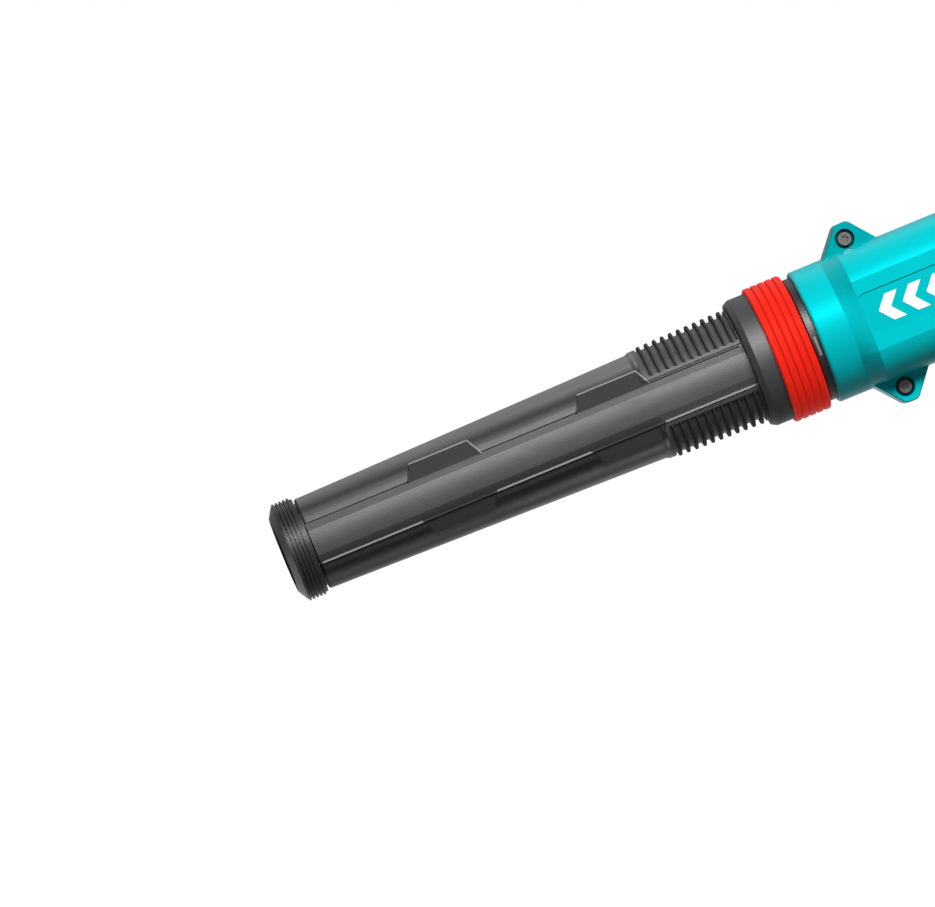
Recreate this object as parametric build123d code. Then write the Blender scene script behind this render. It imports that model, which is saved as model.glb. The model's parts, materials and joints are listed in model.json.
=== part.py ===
from build123d import *
import math
import os

# Cordless in-line leaf blower, built as separate pieces, in millimetres.
# The design is drawn on the fan axis: x = 0 at the outlet mouth, +X to the back, +Z up, and the housing
# halves meet at y = 0 (left half on the -Y side). write() then moves every piece to the row's own origin,
# on the floor under the middle of the machine.

# ---------------------------------------------------------------- driving sizes
# nozzle
mouth_length = 15.4
mouth_bore_r = 21.0
mouth_outer_r = 27.3
mouth_ridge_r = 28.4
mouth_ridges = 5
tube_gap = 1.3            # groove between the mouth ring and the tube
tube_length = 259.0       # tapered part, from the groove to the collar
tube_front_r = 26.4
tube_back_r = 31.6
tube_wall = 2.4
tube_step = 0.9           # raised rear part that frames the fins
band_half = 10.9          # half height of the flat side band
band_face_half = 7.2
band_proud = 0.7
rib_width = 1.3
rib_height = 1.2
pad_base = 44.8
pad_top = 35.0
pad_bevel = 0.8
pad_reach = 20.8          # height of a pad's outer edge above the middle of the band
pad_first = 98.9          # middle of the front pads
pad_pitch = 99.9
fin_count = 11
fin_pitch = 4.83
fin_thickness = 1.2
fin_height = 2.0
fin_inner_z = 14.9
collar_length = 13.2
collar_r = 37.1
collar_chamfer = 3.4

# quick-release joint
sleeve_length = 21.3
sleeve_r = 39.3
sleeve_ridges = 5
sleeve_stroke = 4.4
sleeve_gap = 4.9          # open gap between the sleeve and the housing
spigot_r = 30.6
spigot_wall = 2.2
socket_length = 26.0      # how far the spigot reaches into the tube
flange_r = 35.7
skirt_wall = 3.2          # wall of the tube's socket around the spigot

# housing
wall = 2.5
barrel_r = 38.3
barrel_length = 89.8      # straight front part of the barrel
flare_length = 42.0
fan_r = 56.0
fan_length = 160.0        # wide rear part of the barrel
ear_x = 36.3              # ear centre behind the housing's front edge
ear_z = 43.9
ear_rise = 9.0            # top of the ear above its screw
ear_top_front = 2.7
ear_top_back = 4.6
ear_corner = 4.4
ear_base_front = 14.9
ear_base_back = 16.4
ear_half_depth = 12.0
panel_start = 17.8        # panel's front slope, behind the front edge
panel_slope = 10.0
panel_length = 92.0
panel_face_y = 40.0
panel_face_half = 20.2
panel_shoulder = [(34.6, 29.4), (26.0, 35.4), (14.0, 37.8)]    # rounded corner above the panel, as (y, z)
front_round = 2.0
label_length = 74.0
label_half = 12.3
label_corner = 4.4
label_depth = 0.8
handle_half = 16.0
handle_round = 8.0
grip_layer = 1.2
strut_front_x = 98.5      # front strut's foot behind the front edge
finger_gap = 40.0         # from the barrel up to the grip
gap_length = 87.5         # finger opening along the barrel
grip_depth = 30.0
rear_strut = 26.0
screw_head_r = 3.65
screw_recess_r = 5.5
screw_shank_r = 1.95
screw_clear_r = 2.2
screw_core_r = 2.0
boss_r = 6.6
foot_height = 4.0
foot_below = 4.0          # how far the foot blocks reach below the fan barrel
foot_half = 26.0

# battery and its dock
battery_length = 112.0
battery_half = 37.0
battery_height = 47.5
battery_wall = 2.0
cell_r = 9.1
cell_length = 65.0
cell_count = 5
dock_height = 25.0
rail_half = 25.0
rail_neck_half = 20.0
rail_lip = 3.6
rail_flange = 4.4
battery_travel = 120.0
level_y = 21.5            # charge button beside the release button

# fan and motor
fan_clearance = 1.0
shroud_wall = 2.0
shroud_r = 50.5
hub_r = 20.0
pod_wall = 2.2
blade_count = 9
vane_count = 7
motor_r = 17.5
motor_length = 44.0
shaft_r = 2.5

# clearances
fit = 0.3                 # between curved faces of pieces that move past each other
seat = 0.1                # between pieces that stay together
running = 0.06            # shaft in its bearing

# ---------------------------------------------------------------- stations along the fan axis
tube_x = mouth_length + tube_gap
collar_x = tube_x + tube_length
sleeve_x = collar_x + collar_length
sleeve_end = sleeve_x + sleeve_length
front_x = sleeve_end + sleeve_gap            # housing's front edge
flare_x = front_x + barrel_length
fan_x = flare_x + flare_length
back_x = fan_x + fan_length                  # housing's rear edge
skirt_end = sleeve_end - 5.0
flange_x = sleeve_end + 0.7
skirt_r = spigot_r + fit + skirt_wall
spigot_x = sleeve_x + 17.0 - socket_length
barrel_in = barrel_r - wall
fan_in = fan_r - wall
shroud_in = shroud_r - shroud_wall
blade_r = shroud_in - fan_clearance
gap_x0 = front_x + strut_front_x + 40.0      # finger opening
gap_x1 = gap_x0 + gap_length
grip_z = fan_r + finger_gap                  # underside of the grip
grip_top = grip_z + grip_depth
strut_back_x = gap_x1 + rear_strut
battery_x = strut_back_x + 2.0
battery_end = battery_x + battery_length
dock_z = grip_z + 11.0
dock_top = dock_z + dock_height
dock_x = strut_back_x - 14.0
dock_end = battery_end + 4.0
battery_top = dock_z - 0.5
battery_z = battery_top - battery_height
rail_top = dock_z + rail_lip + rail_flange
stator_x = fan_x + 5.0
impeller_x = stator_x + 66.0
impeller_end = impeller_x + 24.0
shroud_end = impeller_end + 12.0
motor_x = stator_x + 14.0
motor_end = motor_x + motor_length
bell_x = shroud_end + 0.5
bell_length = 16.0
grille_x = back_x - 12.0
seal_x = spigot_x + 8.0
pod_r = motor_r + seat + pod_wall
lead_x = motor_x + 23.0                      # where the motor's leads leave its pod
foot_drop = fan_r + foot_below               # fan axis to the bottom of the foot blocks
front_foot_x = flare_x + 6.0
rear_foot_x = back_x - 34.0
battery_split_z = battery_z + 24.0
contact_places = (-12.0, -4.0, 4.0, 12.0)    # battery contacts across the machine
trigger_x = gap_x0 + 16.0
trigger_z = grip_z + 9.0
dial_x = gap_x0 + 1.5
dial_r = 11.5
dial_z = grip_top - 9.0
turbo_x = gap_x0 + 22.0
board_z = dock_z + 12.6
origin_shift = Pos(-dock_end / 2, 0, foot_drop + foot_height)


# ---------------------------------------------------------------- helpers
def rod(r, x0, x1, y=0.0, z=0.0):
    """A round bar along X."""
    return Pos(x0, y, z) * Rot(0, 90, 0) * Cylinder(r, x1 - x0, align=(Align.CENTER, Align.CENTER, Align.MIN))


def ring(r_out, r_in, x0, x1):
    """A round tube on the fan axis."""
    return rod(r_out, x0, x1) - rod(r_in, x0 - 1, x1 + 1)


def cross_rod(r, x, z, y0, y1):
    """A round bar along Y."""
    upright = Cylinder(r, y1 - y0, align=(Align.CENTER, Align.CENTER, Align.MIN))
    return Pos(x, y0, z) * Rot(-90, 0, 0) * upright


def up_rod(r, x, y, z0, z1):
    """A round bar along Z."""
    return Pos(x, y, z0) * Cylinder(r, z1 - z0, align=(Align.CENTER, Align.CENTER, Align.MIN))


def block(x0, x1, y0, y1, z0, z1):
    """A box between two corners."""
    return Pos(x0, y0, z0) * Box(x1 - x0, y1 - y0, z1 - z0, align=(Align.MIN, Align.MIN, Align.MIN))


def turned(*points):
    """A solid of revolution about the fan axis, from (x, radius) corners."""
    outline = Polyline(*[(x, 0, r) for x, r in points], close=True)
    return revolve(make_face(outline), axis=Axis.X)


def plate(points, y0, y1, radius=0.0):
    """An (x, z) outline with rounded corners, as thick as y0 to y1."""
    corners = [(x, y0, z) for x, z in points]
    if radius:
        outline = FilletPolyline(*corners, radius=radius, close=True)
    else:
        outline = Polyline(*corners, close=True)
    return extrude(make_face(outline), amount=y1 - y0, dir=(0, 1, 0))


def cross_section(x, points):
    """A (y, z) outline as a face across the fan axis at x."""
    return make_face(Polyline(*[(x, y, z) for y, z in points], close=True))


def tapered(x0, points0, x1, points1):
    """A straight-sided solid between two (y, z) outlines."""
    return loft([cross_section(x0, points0), cross_section(x1, points1)], ruled=True)


def both_sides(solid):
    """The solid and its mirror image in y = 0."""
    return solid + mirror(solid, about=Plane.XZ)


def write(solid, node):
    """Move a finished piece to the row's origin and write it."""
    export_step(origin_shift * solid, "parts/" + node + ".step")


# ---------------------------------------------------------------- nozzle
def tube_radius(x):
    """The tube's outer radius at x."""
    return tube_front_r + (tube_back_r - tube_front_r) * (x - tube_x) / tube_length


def bore_radius(x):
    """The tube's inner radius behind its converging front."""
    return tube_radius(x) - tube_wall


def mouth_ring():
    """The ridged ring on the end of the nozzle."""
    body = turned(
        (0, mouth_bore_r), (0, mouth_bore_r + 0.6), (mouth_length * 0.22, mouth_outer_r),
        (mouth_length, mouth_outer_r), (mouth_length, tube_front_r - 2.3),
        (mouth_length / 2, tube_front_r - 2.3), (mouth_length / 2, mouth_bore_r),
    )
    pitch = (mouth_length * 0.70) / mouth_ridges
    for i in range(mouth_ridges):
        x = mouth_length * 0.24 + i * pitch
        body += turned(
            (x, mouth_outer_r - 0.5), (x + 0.35, mouth_ridge_r), (x + pitch - 0.75, mouth_ridge_r),
            (x + pitch - 0.4, mouth_outer_r - 0.5),
        )
    return body


def side_band():
    """The rounded band along one side of the tube, with a sloped strip above and below."""
    def outline(x):
        """The band's (y, z) corners at x."""
        r = tube_radius(x)
        face_y = -math.sqrt((r + band_proud) ** 2 - band_face_half ** 2)
        edge_y = -math.sqrt(r ** 2 - band_half ** 2)
        root_y = -(r - tube_wall + 0.6)
        return [
            (face_y, -band_face_half), (face_y, band_face_half), (edge_y - band_proud / 2, band_half),
            (root_y, band_half - 1.0), (root_y, 1.0 - band_half), (edge_y, -band_half),
        ]
    strips = tapered(tube_x - 0.3, outline(tube_x), collar_x, outline(collar_x))
    crown = turned(
        (tube_x - 0.3, 0), (tube_x - 0.3, tube_radius(tube_x) + band_proud),
        (collar_x, tube_radius(collar_x) + band_proud), (collar_x, 0),
    )
    core = turned(
        (tube_x - 1, 0), (tube_x - 1, tube_front_r - 1.6), (collar_x + 1, tube_back_r - 1.6),
        (collar_x + 1, 0),
    )
    crown &= block(tube_x - 1, collar_x + 1, -collar_r, 0, -band_face_half, band_face_half)
    return strips + (crown - core)


def side_rib(x0, x1, up):
    """The thin straight rib beside the band from x0 to x1; up is 1 above it and -1 below it."""
    def outline(x):
        """The rib's (y, z) corners at x."""
        r = tube_radius(x)
        base = math.sqrt(r ** 2 - (band_half + rib_width) ** 2)
        crest = base + rib_height
        return [
            (-base + 1.0, (band_half - 0.1) * up), (-crest + 0.7, (band_half - 0.1) * up),
            (-crest, (band_half + 0.7) * up), (-crest, (band_half + rib_width) * up),
            (-base + 1.0, (band_half + rib_width) * up),
        ]
    return tapered(x0, outline(x0), x1, outline(x1))


def side_pad(x_mid, up):
    """A raised trapezoid beside the band; up is 1 above it and -1 below it."""
    def outline(x):
        """The pad's (y, z) corners at x."""
        r = tube_radius(x)
        inner_z = band_half - 0.6
        inner_y = -(math.sqrt(r ** 2 - band_half ** 2) + band_proud)
        outer_y = -(math.sqrt(r ** 2 - pad_reach ** 2) + band_proud + 0.8)
        return [
            (inner_y, inner_z * up), (outer_y, pad_reach * up), (outer_y + 3.2, pad_reach * up),
            (inner_y + 3.0, inner_z * up),
        ]
    x0 = x_mid - pad_base / 2
    x1 = x_mid + pad_base / 2
    bar = tapered(x0, outline(x0), x1, outline(x1))
    mask = plate([
        (x0, 0), (x0, band_half * up), (x_mid - pad_top / 2, pad_reach * up),
        (x_mid + pad_top / 2, pad_reach * up), (x1, band_half * up), (x1, 0),
    ], -collar_r, 0)
    pad = bar & mask
    face = pad.faces().filter_by(lambda f: f.normal_at().Y < -0.2).sort_by(SortBy.AREA)[-1]
    return chamfer(face.edges().filter_by(lambda e: abs(e.center().Z) > band_half), pad_bevel)


def fin_frame():
    """The raised rear part of the tube above and below the bands, which frames the fins."""
    step_x = pad_first + pad_pitch + pad_base / 2 - 6.0
    raised = turned(
        (step_x, tube_radius(step_x) - 1.0), (step_x, tube_radius(step_x)),
        (step_x + 2.0, tube_radius(step_x) + tube_step), (collar_x - 0.6, tube_radius(collar_x) + tube_step),
        (collar_x - 0.6, tube_radius(collar_x) - 1.0),
    )
    inner_z = band_half + rib_width + 0.6
    return raised - block(step_x - 1, collar_x, -collar_r, collar_r, -inner_z, inner_z)


def cooling_fins():
    """The comb of ribs on the upper and lower sides, in a shallow recess."""
    first = collar_x - 3.9 - (fin_count - 1) * fin_pitch
    comb = None
    for i in range(fin_count):
        x = first + i * fin_pitch
        tip = tube_radius(x) + fin_height - 0.3
        disc = ring(tip, tube_radius(x) - 1.6, x - fin_thickness / 2, x + fin_thickness / 2)
        comb = disc if comb is None else comb + disc
    return comb - block(first - 5, collar_x + 5, -collar_r, collar_r, -fin_inner_z, fin_inner_z)


def nozzle_tube():
    """The tapered outlet tube, with its bands, pads, fins and the socket at its back."""
    lip_x = mouth_length / 2 + seat
    fins_x = collar_x - 3.9 - (fin_count - 0.5) * fin_pitch
    pad_end = pad_first + pad_pitch + pad_base / 2 - 1.0
    shell = turned(
        (lip_x, 0), (lip_x, tube_front_r - 2.4), (tube_x, tube_front_r - 2.4), (tube_x, tube_front_r - 0.6),
        (tube_x + 0.8, tube_front_r), (collar_x - 0.6, tube_radius(collar_x)),
        (collar_x + 0.2, collar_r - 2.5), (sleeve_x - seat, collar_r - 2.5), (sleeve_x - seat, skirt_r),
        (sleeve_x + 9.0, skirt_r - 1.0), (skirt_end, skirt_r - 1.0), (skirt_end, 0),
    )
    shell += fin_frame()
    recess = ring(collar_r, tube_radius(fins_x) - 0.5, fins_x, collar_x - 1.2)
    recess -= block(fins_x - 1, collar_x, -collar_r, collar_r, -fin_inner_z, fin_inner_z)
    shell -= recess
    shell += cooling_fins()
    shell += both_sides(side_band())
    groove_z = band_half + 0.45
    for side in (-1, 1):
        y0 = side * math.sqrt(tube_radius(tube_x) ** 2 - groove_z ** 2)
        y1 = side * math.sqrt(tube_radius(pad_end) ** 2 - groove_z ** 2)
        corners = [(-1.2, -0.45), (2.4, -0.45), (2.4, 0.45), (-1.2, 0.45)]
        start = [(y0 + side * dy, groove_z + dz) for dy, dz in corners]
        end = [(y1 + side * dy, groove_z + dz) for dy, dz in corners]
        shell -= tapered(tube_x - 0.5, start, pad_end, end)
    shell += both_sides(side_rib(tube_x + 1.0, collar_x - 2.0, -1) + side_rib(pad_end, collar_x - 2.0, 1))
    for i in range(2):
        for up in (-1, 1):
            shell += both_sides(side_pad(pad_first + i * pad_pitch, up))
    socket_x = spigot_x - 1.5
    bore = turned(
        (lip_x - 1, 0), (lip_x - 1, mouth_bore_r), (tube_x + 14.0, bore_radius(tube_x + 14.0)),
        (socket_x - 4.0, bore_radius(socket_x - 4.0)), (socket_x - 4.0, spigot_r - spigot_wall),
        (socket_x, spigot_r - spigot_wall), (socket_x, spigot_r + fit), (skirt_end + 1, spigot_r + fit),
        (skirt_end + 1, 0),
    )
    shell -= bore
    shell -= ring(skirt_r, skirt_r - 2.0, skirt_end - 2.4, skirt_end - 1.2)
    return shell


def tube_collar():
    """The smooth collar that the release sleeve rests against."""
    return turned(
        (collar_x + 0.4, collar_r - 2.4), (collar_x + 0.4, collar_r - 1.6),
        (collar_x + collar_chamfer, collar_r), (sleeve_x - seat, collar_r), (sleeve_x - seat, collar_r - 2.4),
    )


def release_sleeve():
    """The ridged ring that is pulled back to free the tube."""
    pocket_r = flange_r + fit
    inner = turned(
        (sleeve_x - 1, 0), (sleeve_x - 1, skirt_r + fit + 0.1), (sleeve_x, skirt_r + fit),
        (sleeve_x + 9.0, skirt_r - 1.0 + fit), (sleeve_x + 9.0, pocket_r), (sleeve_end + 1, pocket_r),
        (sleeve_end + 1, 0),
    )
    body = rod(sleeve_r, sleeve_x, sleeve_end) - inner
    body = chamfer(body.edges().filter_by(GeomType.CIRCLE).filter_by(
        lambda e: abs(e.radius - sleeve_r) < 0.01), 0.8)
    pitch = sleeve_length / sleeve_ridges
    for i in range(1, sleeve_ridges):
        x = sleeve_x + i * pitch
        body -= turned((x - 0.9, sleeve_r + 0.1), (x - 0.3, sleeve_r - 0.7), (x + 0.3, sleeve_r - 0.7),
                       (x + 0.9, sleeve_r + 0.1))
    return body


def sleeve_spring():
    """The wave spring that holds the sleeve against the collar, as four flat turns with crests between."""
    r_in = skirt_r - 1.0 + 0.25
    r_out = flange_r
    x0 = sleeve_x + 9.1
    x1 = skirt_end - 2.4 - 0.05
    turns = 4
    leaf = 0.4
    pitch = (x1 - x0 - leaf) / (turns - 1)
    spring = None
    for i in range(turns):
        x = x0 + i * pitch
        part = ring(r_out, r_in, x, x + leaf)
        spring = part if spring is None else spring + part
    for i in range(turns - 1):
        for k in range(3):
            crest = block(x0 + i * pitch, x0 + (i + 1) * pitch + leaf, -1.5, 1.5, r_in + 0.15, r_out - 0.2)
            spring += Rot(k * 120 + i * 60, 0, 0) * crest
    return spring


def sleeve_retaining_ring():
    """The snap ring in the tube's skirt that backs the spring."""
    snap = ring(flange_r - 0.1, skirt_r - 1.9, skirt_end - 2.35, skirt_end - 1.25)
    return snap - block(skirt_end - 3, skirt_end, -2.0, 2.0, -flange_r, -spigot_r)


# ---------------------------------------------------------------- air path
def outlet_spigot():
    """The spigot that the tube plugs onto, and its flange in the housing's mouth."""
    spigot = turned(
        (spigot_x, 0), (spigot_x, spigot_r - 0.6), (spigot_x + 0.6, spigot_r), (flange_x, spigot_r),
        (flange_x, flange_r - 0.4), (flange_x + 0.4, flange_r), (front_x + 7.0, flange_r),
        (front_x + 7.0, 0),
    )
    spigot -= rod(spigot_r - spigot_wall, spigot_x - 1, front_x + 8)
    return spigot - ring(spigot_r + 1, spigot_r - 1.2, seal_x, seal_x + 2.6)


def spigot_seal():
    """The rubber ring that seals the tube on the spigot."""
    body = ring(spigot_r + fit - running, spigot_r - 1.15, seal_x + 0.1, seal_x + 2.5)
    return chamfer(body.edges().filter_by(GeomType.CIRCLE).filter_by(lambda e: e.radius > spigot_r), 0.25)


def flared(front_r, back_r, x0, x_flare, flare, x1):
    """A solid of revolution that widens smoothly from one radius to another."""
    middle = x_flare + flare / 2
    lower = Polyline((x_flare, 0, front_r), (x0, 0, front_r), (x0, 0, 0), (x1, 0, 0), (x1, 0, back_r),
                     (x_flare + flare, 0, back_r))
    curve = Bezier((x_flare, 0, front_r), (middle, 0, front_r), (middle, 0, back_r),
                   (x_flare + flare, 0, back_r))
    return revolve(make_face(Curve() + [lower, curve]), axis=Axis.X)


def outlet_duct():
    """The duct that narrows from the fan to the spigot."""
    duct_x = front_x + 10.0
    duct_front = barrel_in - 1.2
    outer = flared(duct_front, shroud_r, duct_x, flare_x - 2.0, flare_length, stator_x - 0.2)
    inner = flared(duct_front - 2.0, shroud_in, duct_x - 1, flare_x - 2.0, flare_length, stator_x + 1)
    neck = turned(
        (front_x + 7.2, spigot_r - spigot_wall), (front_x + 7.2, spigot_r + 1.5), (duct_x + 1.5, duct_front),
        (duct_x + 18.0, duct_front), (duct_x + 18.0, duct_front - 2.0),
    )
    return outer - inner + neck


def stator_housing():
    """The fan shroud with its straightening vanes and the motor pod."""
    body = ring(shroud_r, shroud_in, stator_x, shroud_end)
    body += ring(pod_r, motor_r + seat, stator_x + 6.0, motor_end + 6.0)
    for i in range(vane_count):
        vane = block(motor_x + 2.0, motor_end, -1.0, 1.0, pod_r - 0.8, shroud_in + 0.8)
        vane = Pos(motor_x + 20, 0, 0) * Rot(0, 0, 16) * Pos(-motor_x - 20, 0, 0) * vane
        body += Rot((i + 0.5) * 360 / vane_count, 0, 0) * vane
    body -= rod(motor_r + seat, stator_x, motor_end + 8.0)
    return body - block(lead_x - 2.6, lead_x + 2.6, -5.4, 5.4, shroud_in - 2, shroud_r + 1)


def tail_cone():
    """The streamlined cap downstream of the motor."""
    x0 = flare_x + 2.0
    x1 = stator_x + 5.8
    length = x1 - x0

    def dome(tip, r):
        """A solid dome with its tip at tip and radius r at its foot."""
        base = Polyline((x1, 0, r), (x1, 0, 0), (tip, 0, 0))
        curve = Bezier((tip, 0, 0), (tip, 0, r * 0.7), (tip + length * 0.45, 0, r), (x1, 0, r))
        return revolve(make_face(Curve() + [base, curve]), axis=Axis.X)
    return dome(x0, pod_r) - dome(x0 + 3.0, pod_r - 2.2)


def inlet_bell():
    """The rounded mouth that leads air into the fan."""
    throat = shroud_in
    rim = fan_in - seat
    outer = Polyline((bell_x, 0, throat), (bell_x, 0, shroud_r), (bell_x + 3.0, 0, shroud_r),
                     (bell_x + bell_length - 2.0, 0, rim), (bell_x + bell_length, 0, rim))
    inner = Bezier((bell_x + bell_length, 0, rim), (bell_x + bell_length - 4.0, 0, throat + 1.2),
                   (bell_x + 7.0, 0, throat), (bell_x, 0, throat))
    return revolve(make_face(Curve() + [outer, inner]), axis=Axis.X)


def isolator(x):
    """A rubber ring that holds the fan shroud in the housing, notched on top for the motor leads."""
    body = ring(fan_in - seat, shroud_r + seat, x, x + 6.0)
    return body - block(x - 1, x + 7, -6.0, 6.0, shroud_r - 2, fan_r)


def intake_grille():
    """The guard over the intake, with rings and spokes closer than a finger."""
    rim = fan_in - seat
    body = ring(rim, rim - 3.0, grille_x, back_x + 3.0)
    dome = 7.0

    def front(r):
        """The x of the grille's domed front at radius r."""
        return back_x - 4.0 + dome * (1 - (r / rim) ** 2)
    for r in (14.0, 22.0, 30.0, 38.0, 46.0):
        body += ring(r + 1.1, r - 1.1, front(r) - 1.0, front(r) + 3.2)
    for k in range(12):
        spoke = tapered(front(9) - 1.2, [(-1.0, 8.0), (1.0, 8.0), (1.0, rim - 1.0), (-1.0, rim - 1.0)],
                        front(9) + 1.4, [(-1.0, 8.0), (1.0, 8.0), (1.0, rim - 9.0), (-1.0, rim - 9.0)])
        spoke += block(back_x - 5.0, front(9) - 1.2, -1.0, 1.0, 8.0, rim - 1.0)
        body += Rot(k * 30, 0, 0) * spoke
    return body + rod(9.5, back_x - 5.0, front(0) + 2.4)


# ---------------------------------------------------------------- housing
def handle_outline(inset, y_half, rounding):
    """The loop of the handle in side view, drawn in by inset, with rounded long edges."""
    x0 = front_x + strut_front_x
    outer = [
        (x0 + inset * 1.1, barrel_r - 12.0 + inset), (x0 + 28.0 + inset * 1.1, grip_top - 2.0 - inset),
        (strut_back_x - inset, grip_top + 5.0 - inset), (strut_back_x - inset, barrel_r - 12.0 + inset),
    ]
    gap = [
        (gap_x0 - 2.0 - inset, fan_r - 2.0 - inset), (gap_x0 + 10.0 - inset, grip_z - inset * -1.0),
        (gap_x1 - 2.0 + inset, grip_z + 5.0 + inset), (gap_x1 + inset, fan_r - 2.0 - inset),
    ]
    loop = plate(outer, -y_half, y_half, radius=11.0)
    hole = plate(gap, -y_half - 1, y_half + 1, radius=9.0)
    loop -= hole
    rims = loop.faces().filter_by(Plane.XZ).edges()
    return fillet(rims, rounding)


def panel_section(x, grown):
    """One side of the housing's outline at the panel; grown is 0 on the round barrel, 1 at full height."""
    under = barrel_r - 0.1
    half = panel_face_half
    round_y = math.sqrt(under ** 2 - half ** 2)
    corner_y = round_y + (panel_face_y - round_y) * grown
    if grown:
        side = Line((x, -corner_y, -half), (x, -corner_y, half))
    else:
        side = ThreePointArc((x, -corner_y, -half), (x, -under, 0), (x, -corner_y, half))
    shoulder = [(corner_y, half)]
    for full_y, z in panel_shoulder:
        y = math.sqrt(under ** 2 - z ** 2)
        shoulder.append((y + (full_y - y) * grown, z))
    shoulder.append((0, under))
    upper = Spline(*[(x, -y, z) for y, z in shoulder])
    lower = Spline(*[(x, -y, -z) for y, z in shoulder])
    return make_face(Curve() + [side, upper, lower, Line((x, 0, under), (x, 0, -under))])


def side_panel():
    """The raised boxy part of the barrel on one side, growing out of the round front."""
    x0 = front_x + panel_start
    x1 = x0 + panel_slope
    nose = loft([panel_section(x0, 0), panel_section(x1, 1)], ruled=True)
    return nose + extrude(panel_section(x1, 1), amount=panel_length, dir=(1, 0, 0))


def housing_ear(up):
    """The ear that holds the screw above or below the barrel; up is 1 above it and -1 below it."""
    x = front_x + ear_x
    root = barrel_r - 8.0
    lean = (ear_z + ear_rise - root) / (ear_z + ear_rise - barrel_r)
    outline = [
        (x - ear_top_front - (ear_base_front - ear_top_front) * lean, root * up),
        (x - ear_top_front, (ear_z + ear_rise) * up), (x + ear_top_back, (ear_z + ear_rise) * up),
        (x + ear_top_back + (ear_base_back - ear_top_back) * lean, root * up),
    ]
    lug = plate(outline, -ear_half_depth, ear_half_depth, radius=ear_corner)
    return chamfer(lug.faces().filter_by(Plane.XZ).edges(), 0.7)


def housing_outer():
    """The outside of both housing halves together."""
    body = flared(barrel_r, fan_r, front_x, flare_x, flare_length, back_x)
    rim = body.edges().filter_by(GeomType.CIRCLE).filter_by(lambda e: abs(e.center().X - front_x) < 0.01)
    body = fillet(rim, front_round)
    body += housing_ear(1) + housing_ear(-1)
    body += both_sides(side_panel())
    body += handle_outline(0.0, handle_half, handle_round)
    dock = block(dock_x, dock_end, -battery_half, battery_half, dock_z, dock_top)
    dock = fillet(dock.edges().filter_by(Axis.Z), 7.0)
    dock = fillet(dock.faces().sort_by(Axis.Z)[-1].edges(), 5.0)
    body += dock
    for x_foot in (front_foot_x, rear_foot_x):
        foot = block(x_foot, x_foot + 30.0, -foot_half, foot_half, -foot_drop, -barrel_r + 6.0)
        body += fillet(foot.edges().filter_by(Axis.Z), 4.0)
    return body


def housing_hollow():
    """Everything cut out of the housing's inside."""
    hollow = flared(barrel_in, fan_in, front_x - 1, flare_x, flare_length, back_x + 1)
    hollow += handle_outline(wall, handle_half - wall, handle_round - wall)
    hollow += block(dock_x + wall, dock_end - wall, -battery_half + wall, battery_half - wall,
                    rail_top + 2.0, dock_top - wall)
    hollow += block(strut_back_x - 6.0, battery_x + 4.0, -16.5, 16.5, dock_z + rail_lip, rail_top + 2.5)
    return hollow


def housing_cuts():
    """The openings in the housing: rail channel, trigger slot, dial slot, button hole and louvres."""
    cuts = block(battery_x - 0.5, dock_end + 1, -rail_neck_half - 0.5, rail_neck_half + 0.5,
                 dock_z - 1, rail_top + 0.5)
    cuts += block(battery_x - 0.5, dock_end + 1, -rail_half - 0.5, rail_half + 0.5,
                  dock_z + rail_lip - fit, rail_top + 0.5)
    cuts += block(trigger_x - 5.2, trigger_x + 31.2, -8.6, 8.6, grip_z - 6.0, grip_z + 6.0)
    cuts += block(dial_x - dial_r - 1.5, dial_x + dial_r + 1.0, -4.9, 4.9, dial_z, grip_top + 8.0)
    cuts += up_rod(5.4, turbo_x, 0, grip_top - 6.0, grip_top + 8.0)
    for side in (-1, 1):
        for k in range(7):
            slot = block(bell_x + bell_length + 2.0, grille_x - 2.5, -1.6, 1.6, fan_in - 3.0, fan_r + 2.0)
            cuts += Rot(side * (62 + k * 9.5), 0, 0) * slot
    label = plate([
        (front_x + panel_start + panel_slope, -label_half), (front_x + panel_start + panel_slope, label_half),
        (front_x + panel_start + panel_slope + label_length, label_half),
        (front_x + panel_start + panel_slope + label_length, -label_half),
    ], -panel_face_y - 1, -panel_face_y + label_depth, radius=label_corner)
    return cuts + both_sides(label)


def screw_places():
    """Where the housing screws stand, as (x, z)."""
    return [
        (front_x + ear_x, ear_z),
        (front_x + ear_x, -ear_z),
        (front_x + strut_front_x + 31.0, grip_z - 16.0),
        (gap_x1 + 15.5, grip_z - 22.0),
        (flare_x + 21.0, -foot_drop + 7.5),
        (back_x - 19.0, -foot_drop - 0.5 + 8.0),
    ]


def head_seat(z):
    """The depth (y) of a screw head's seat, by the kind of place it stands in."""
    if abs(abs(z) - ear_z) < 0.01:
        return -ear_half_depth + 3.2
    if z < 0:
        return -foot_half + 8.0
    return -handle_half + 4.2


def inner_ribs():
    """Solid stops and screw bosses inside the housing."""
    ribs = ring(barrel_in + 0.5, flange_r - 1.2, front_x + 7.3, front_x + 9.3)
    for x in (stator_x + 1.0, stator_x + 11.0, shroud_end - 14.0):
        ribs += ring(fan_in + 0.5, fan_in - 1.6, x, x + 2.0) - block(x - 1, x + 3, -7, 7, 0, fan_r)
    for x, z in screw_places():
        if z > ear_z + 1:
            ribs += cross_rod(boss_r, x, z, -handle_half + 2.0, handle_half - 2.0)
    for side in (-1, 1):
        y0, y1 = sorted((side * 8.4, side * (handle_half - 2.0)))
        ribs += cross_rod(4.0, trigger_x, trigger_z, y0, y1)
    return ribs


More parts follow.
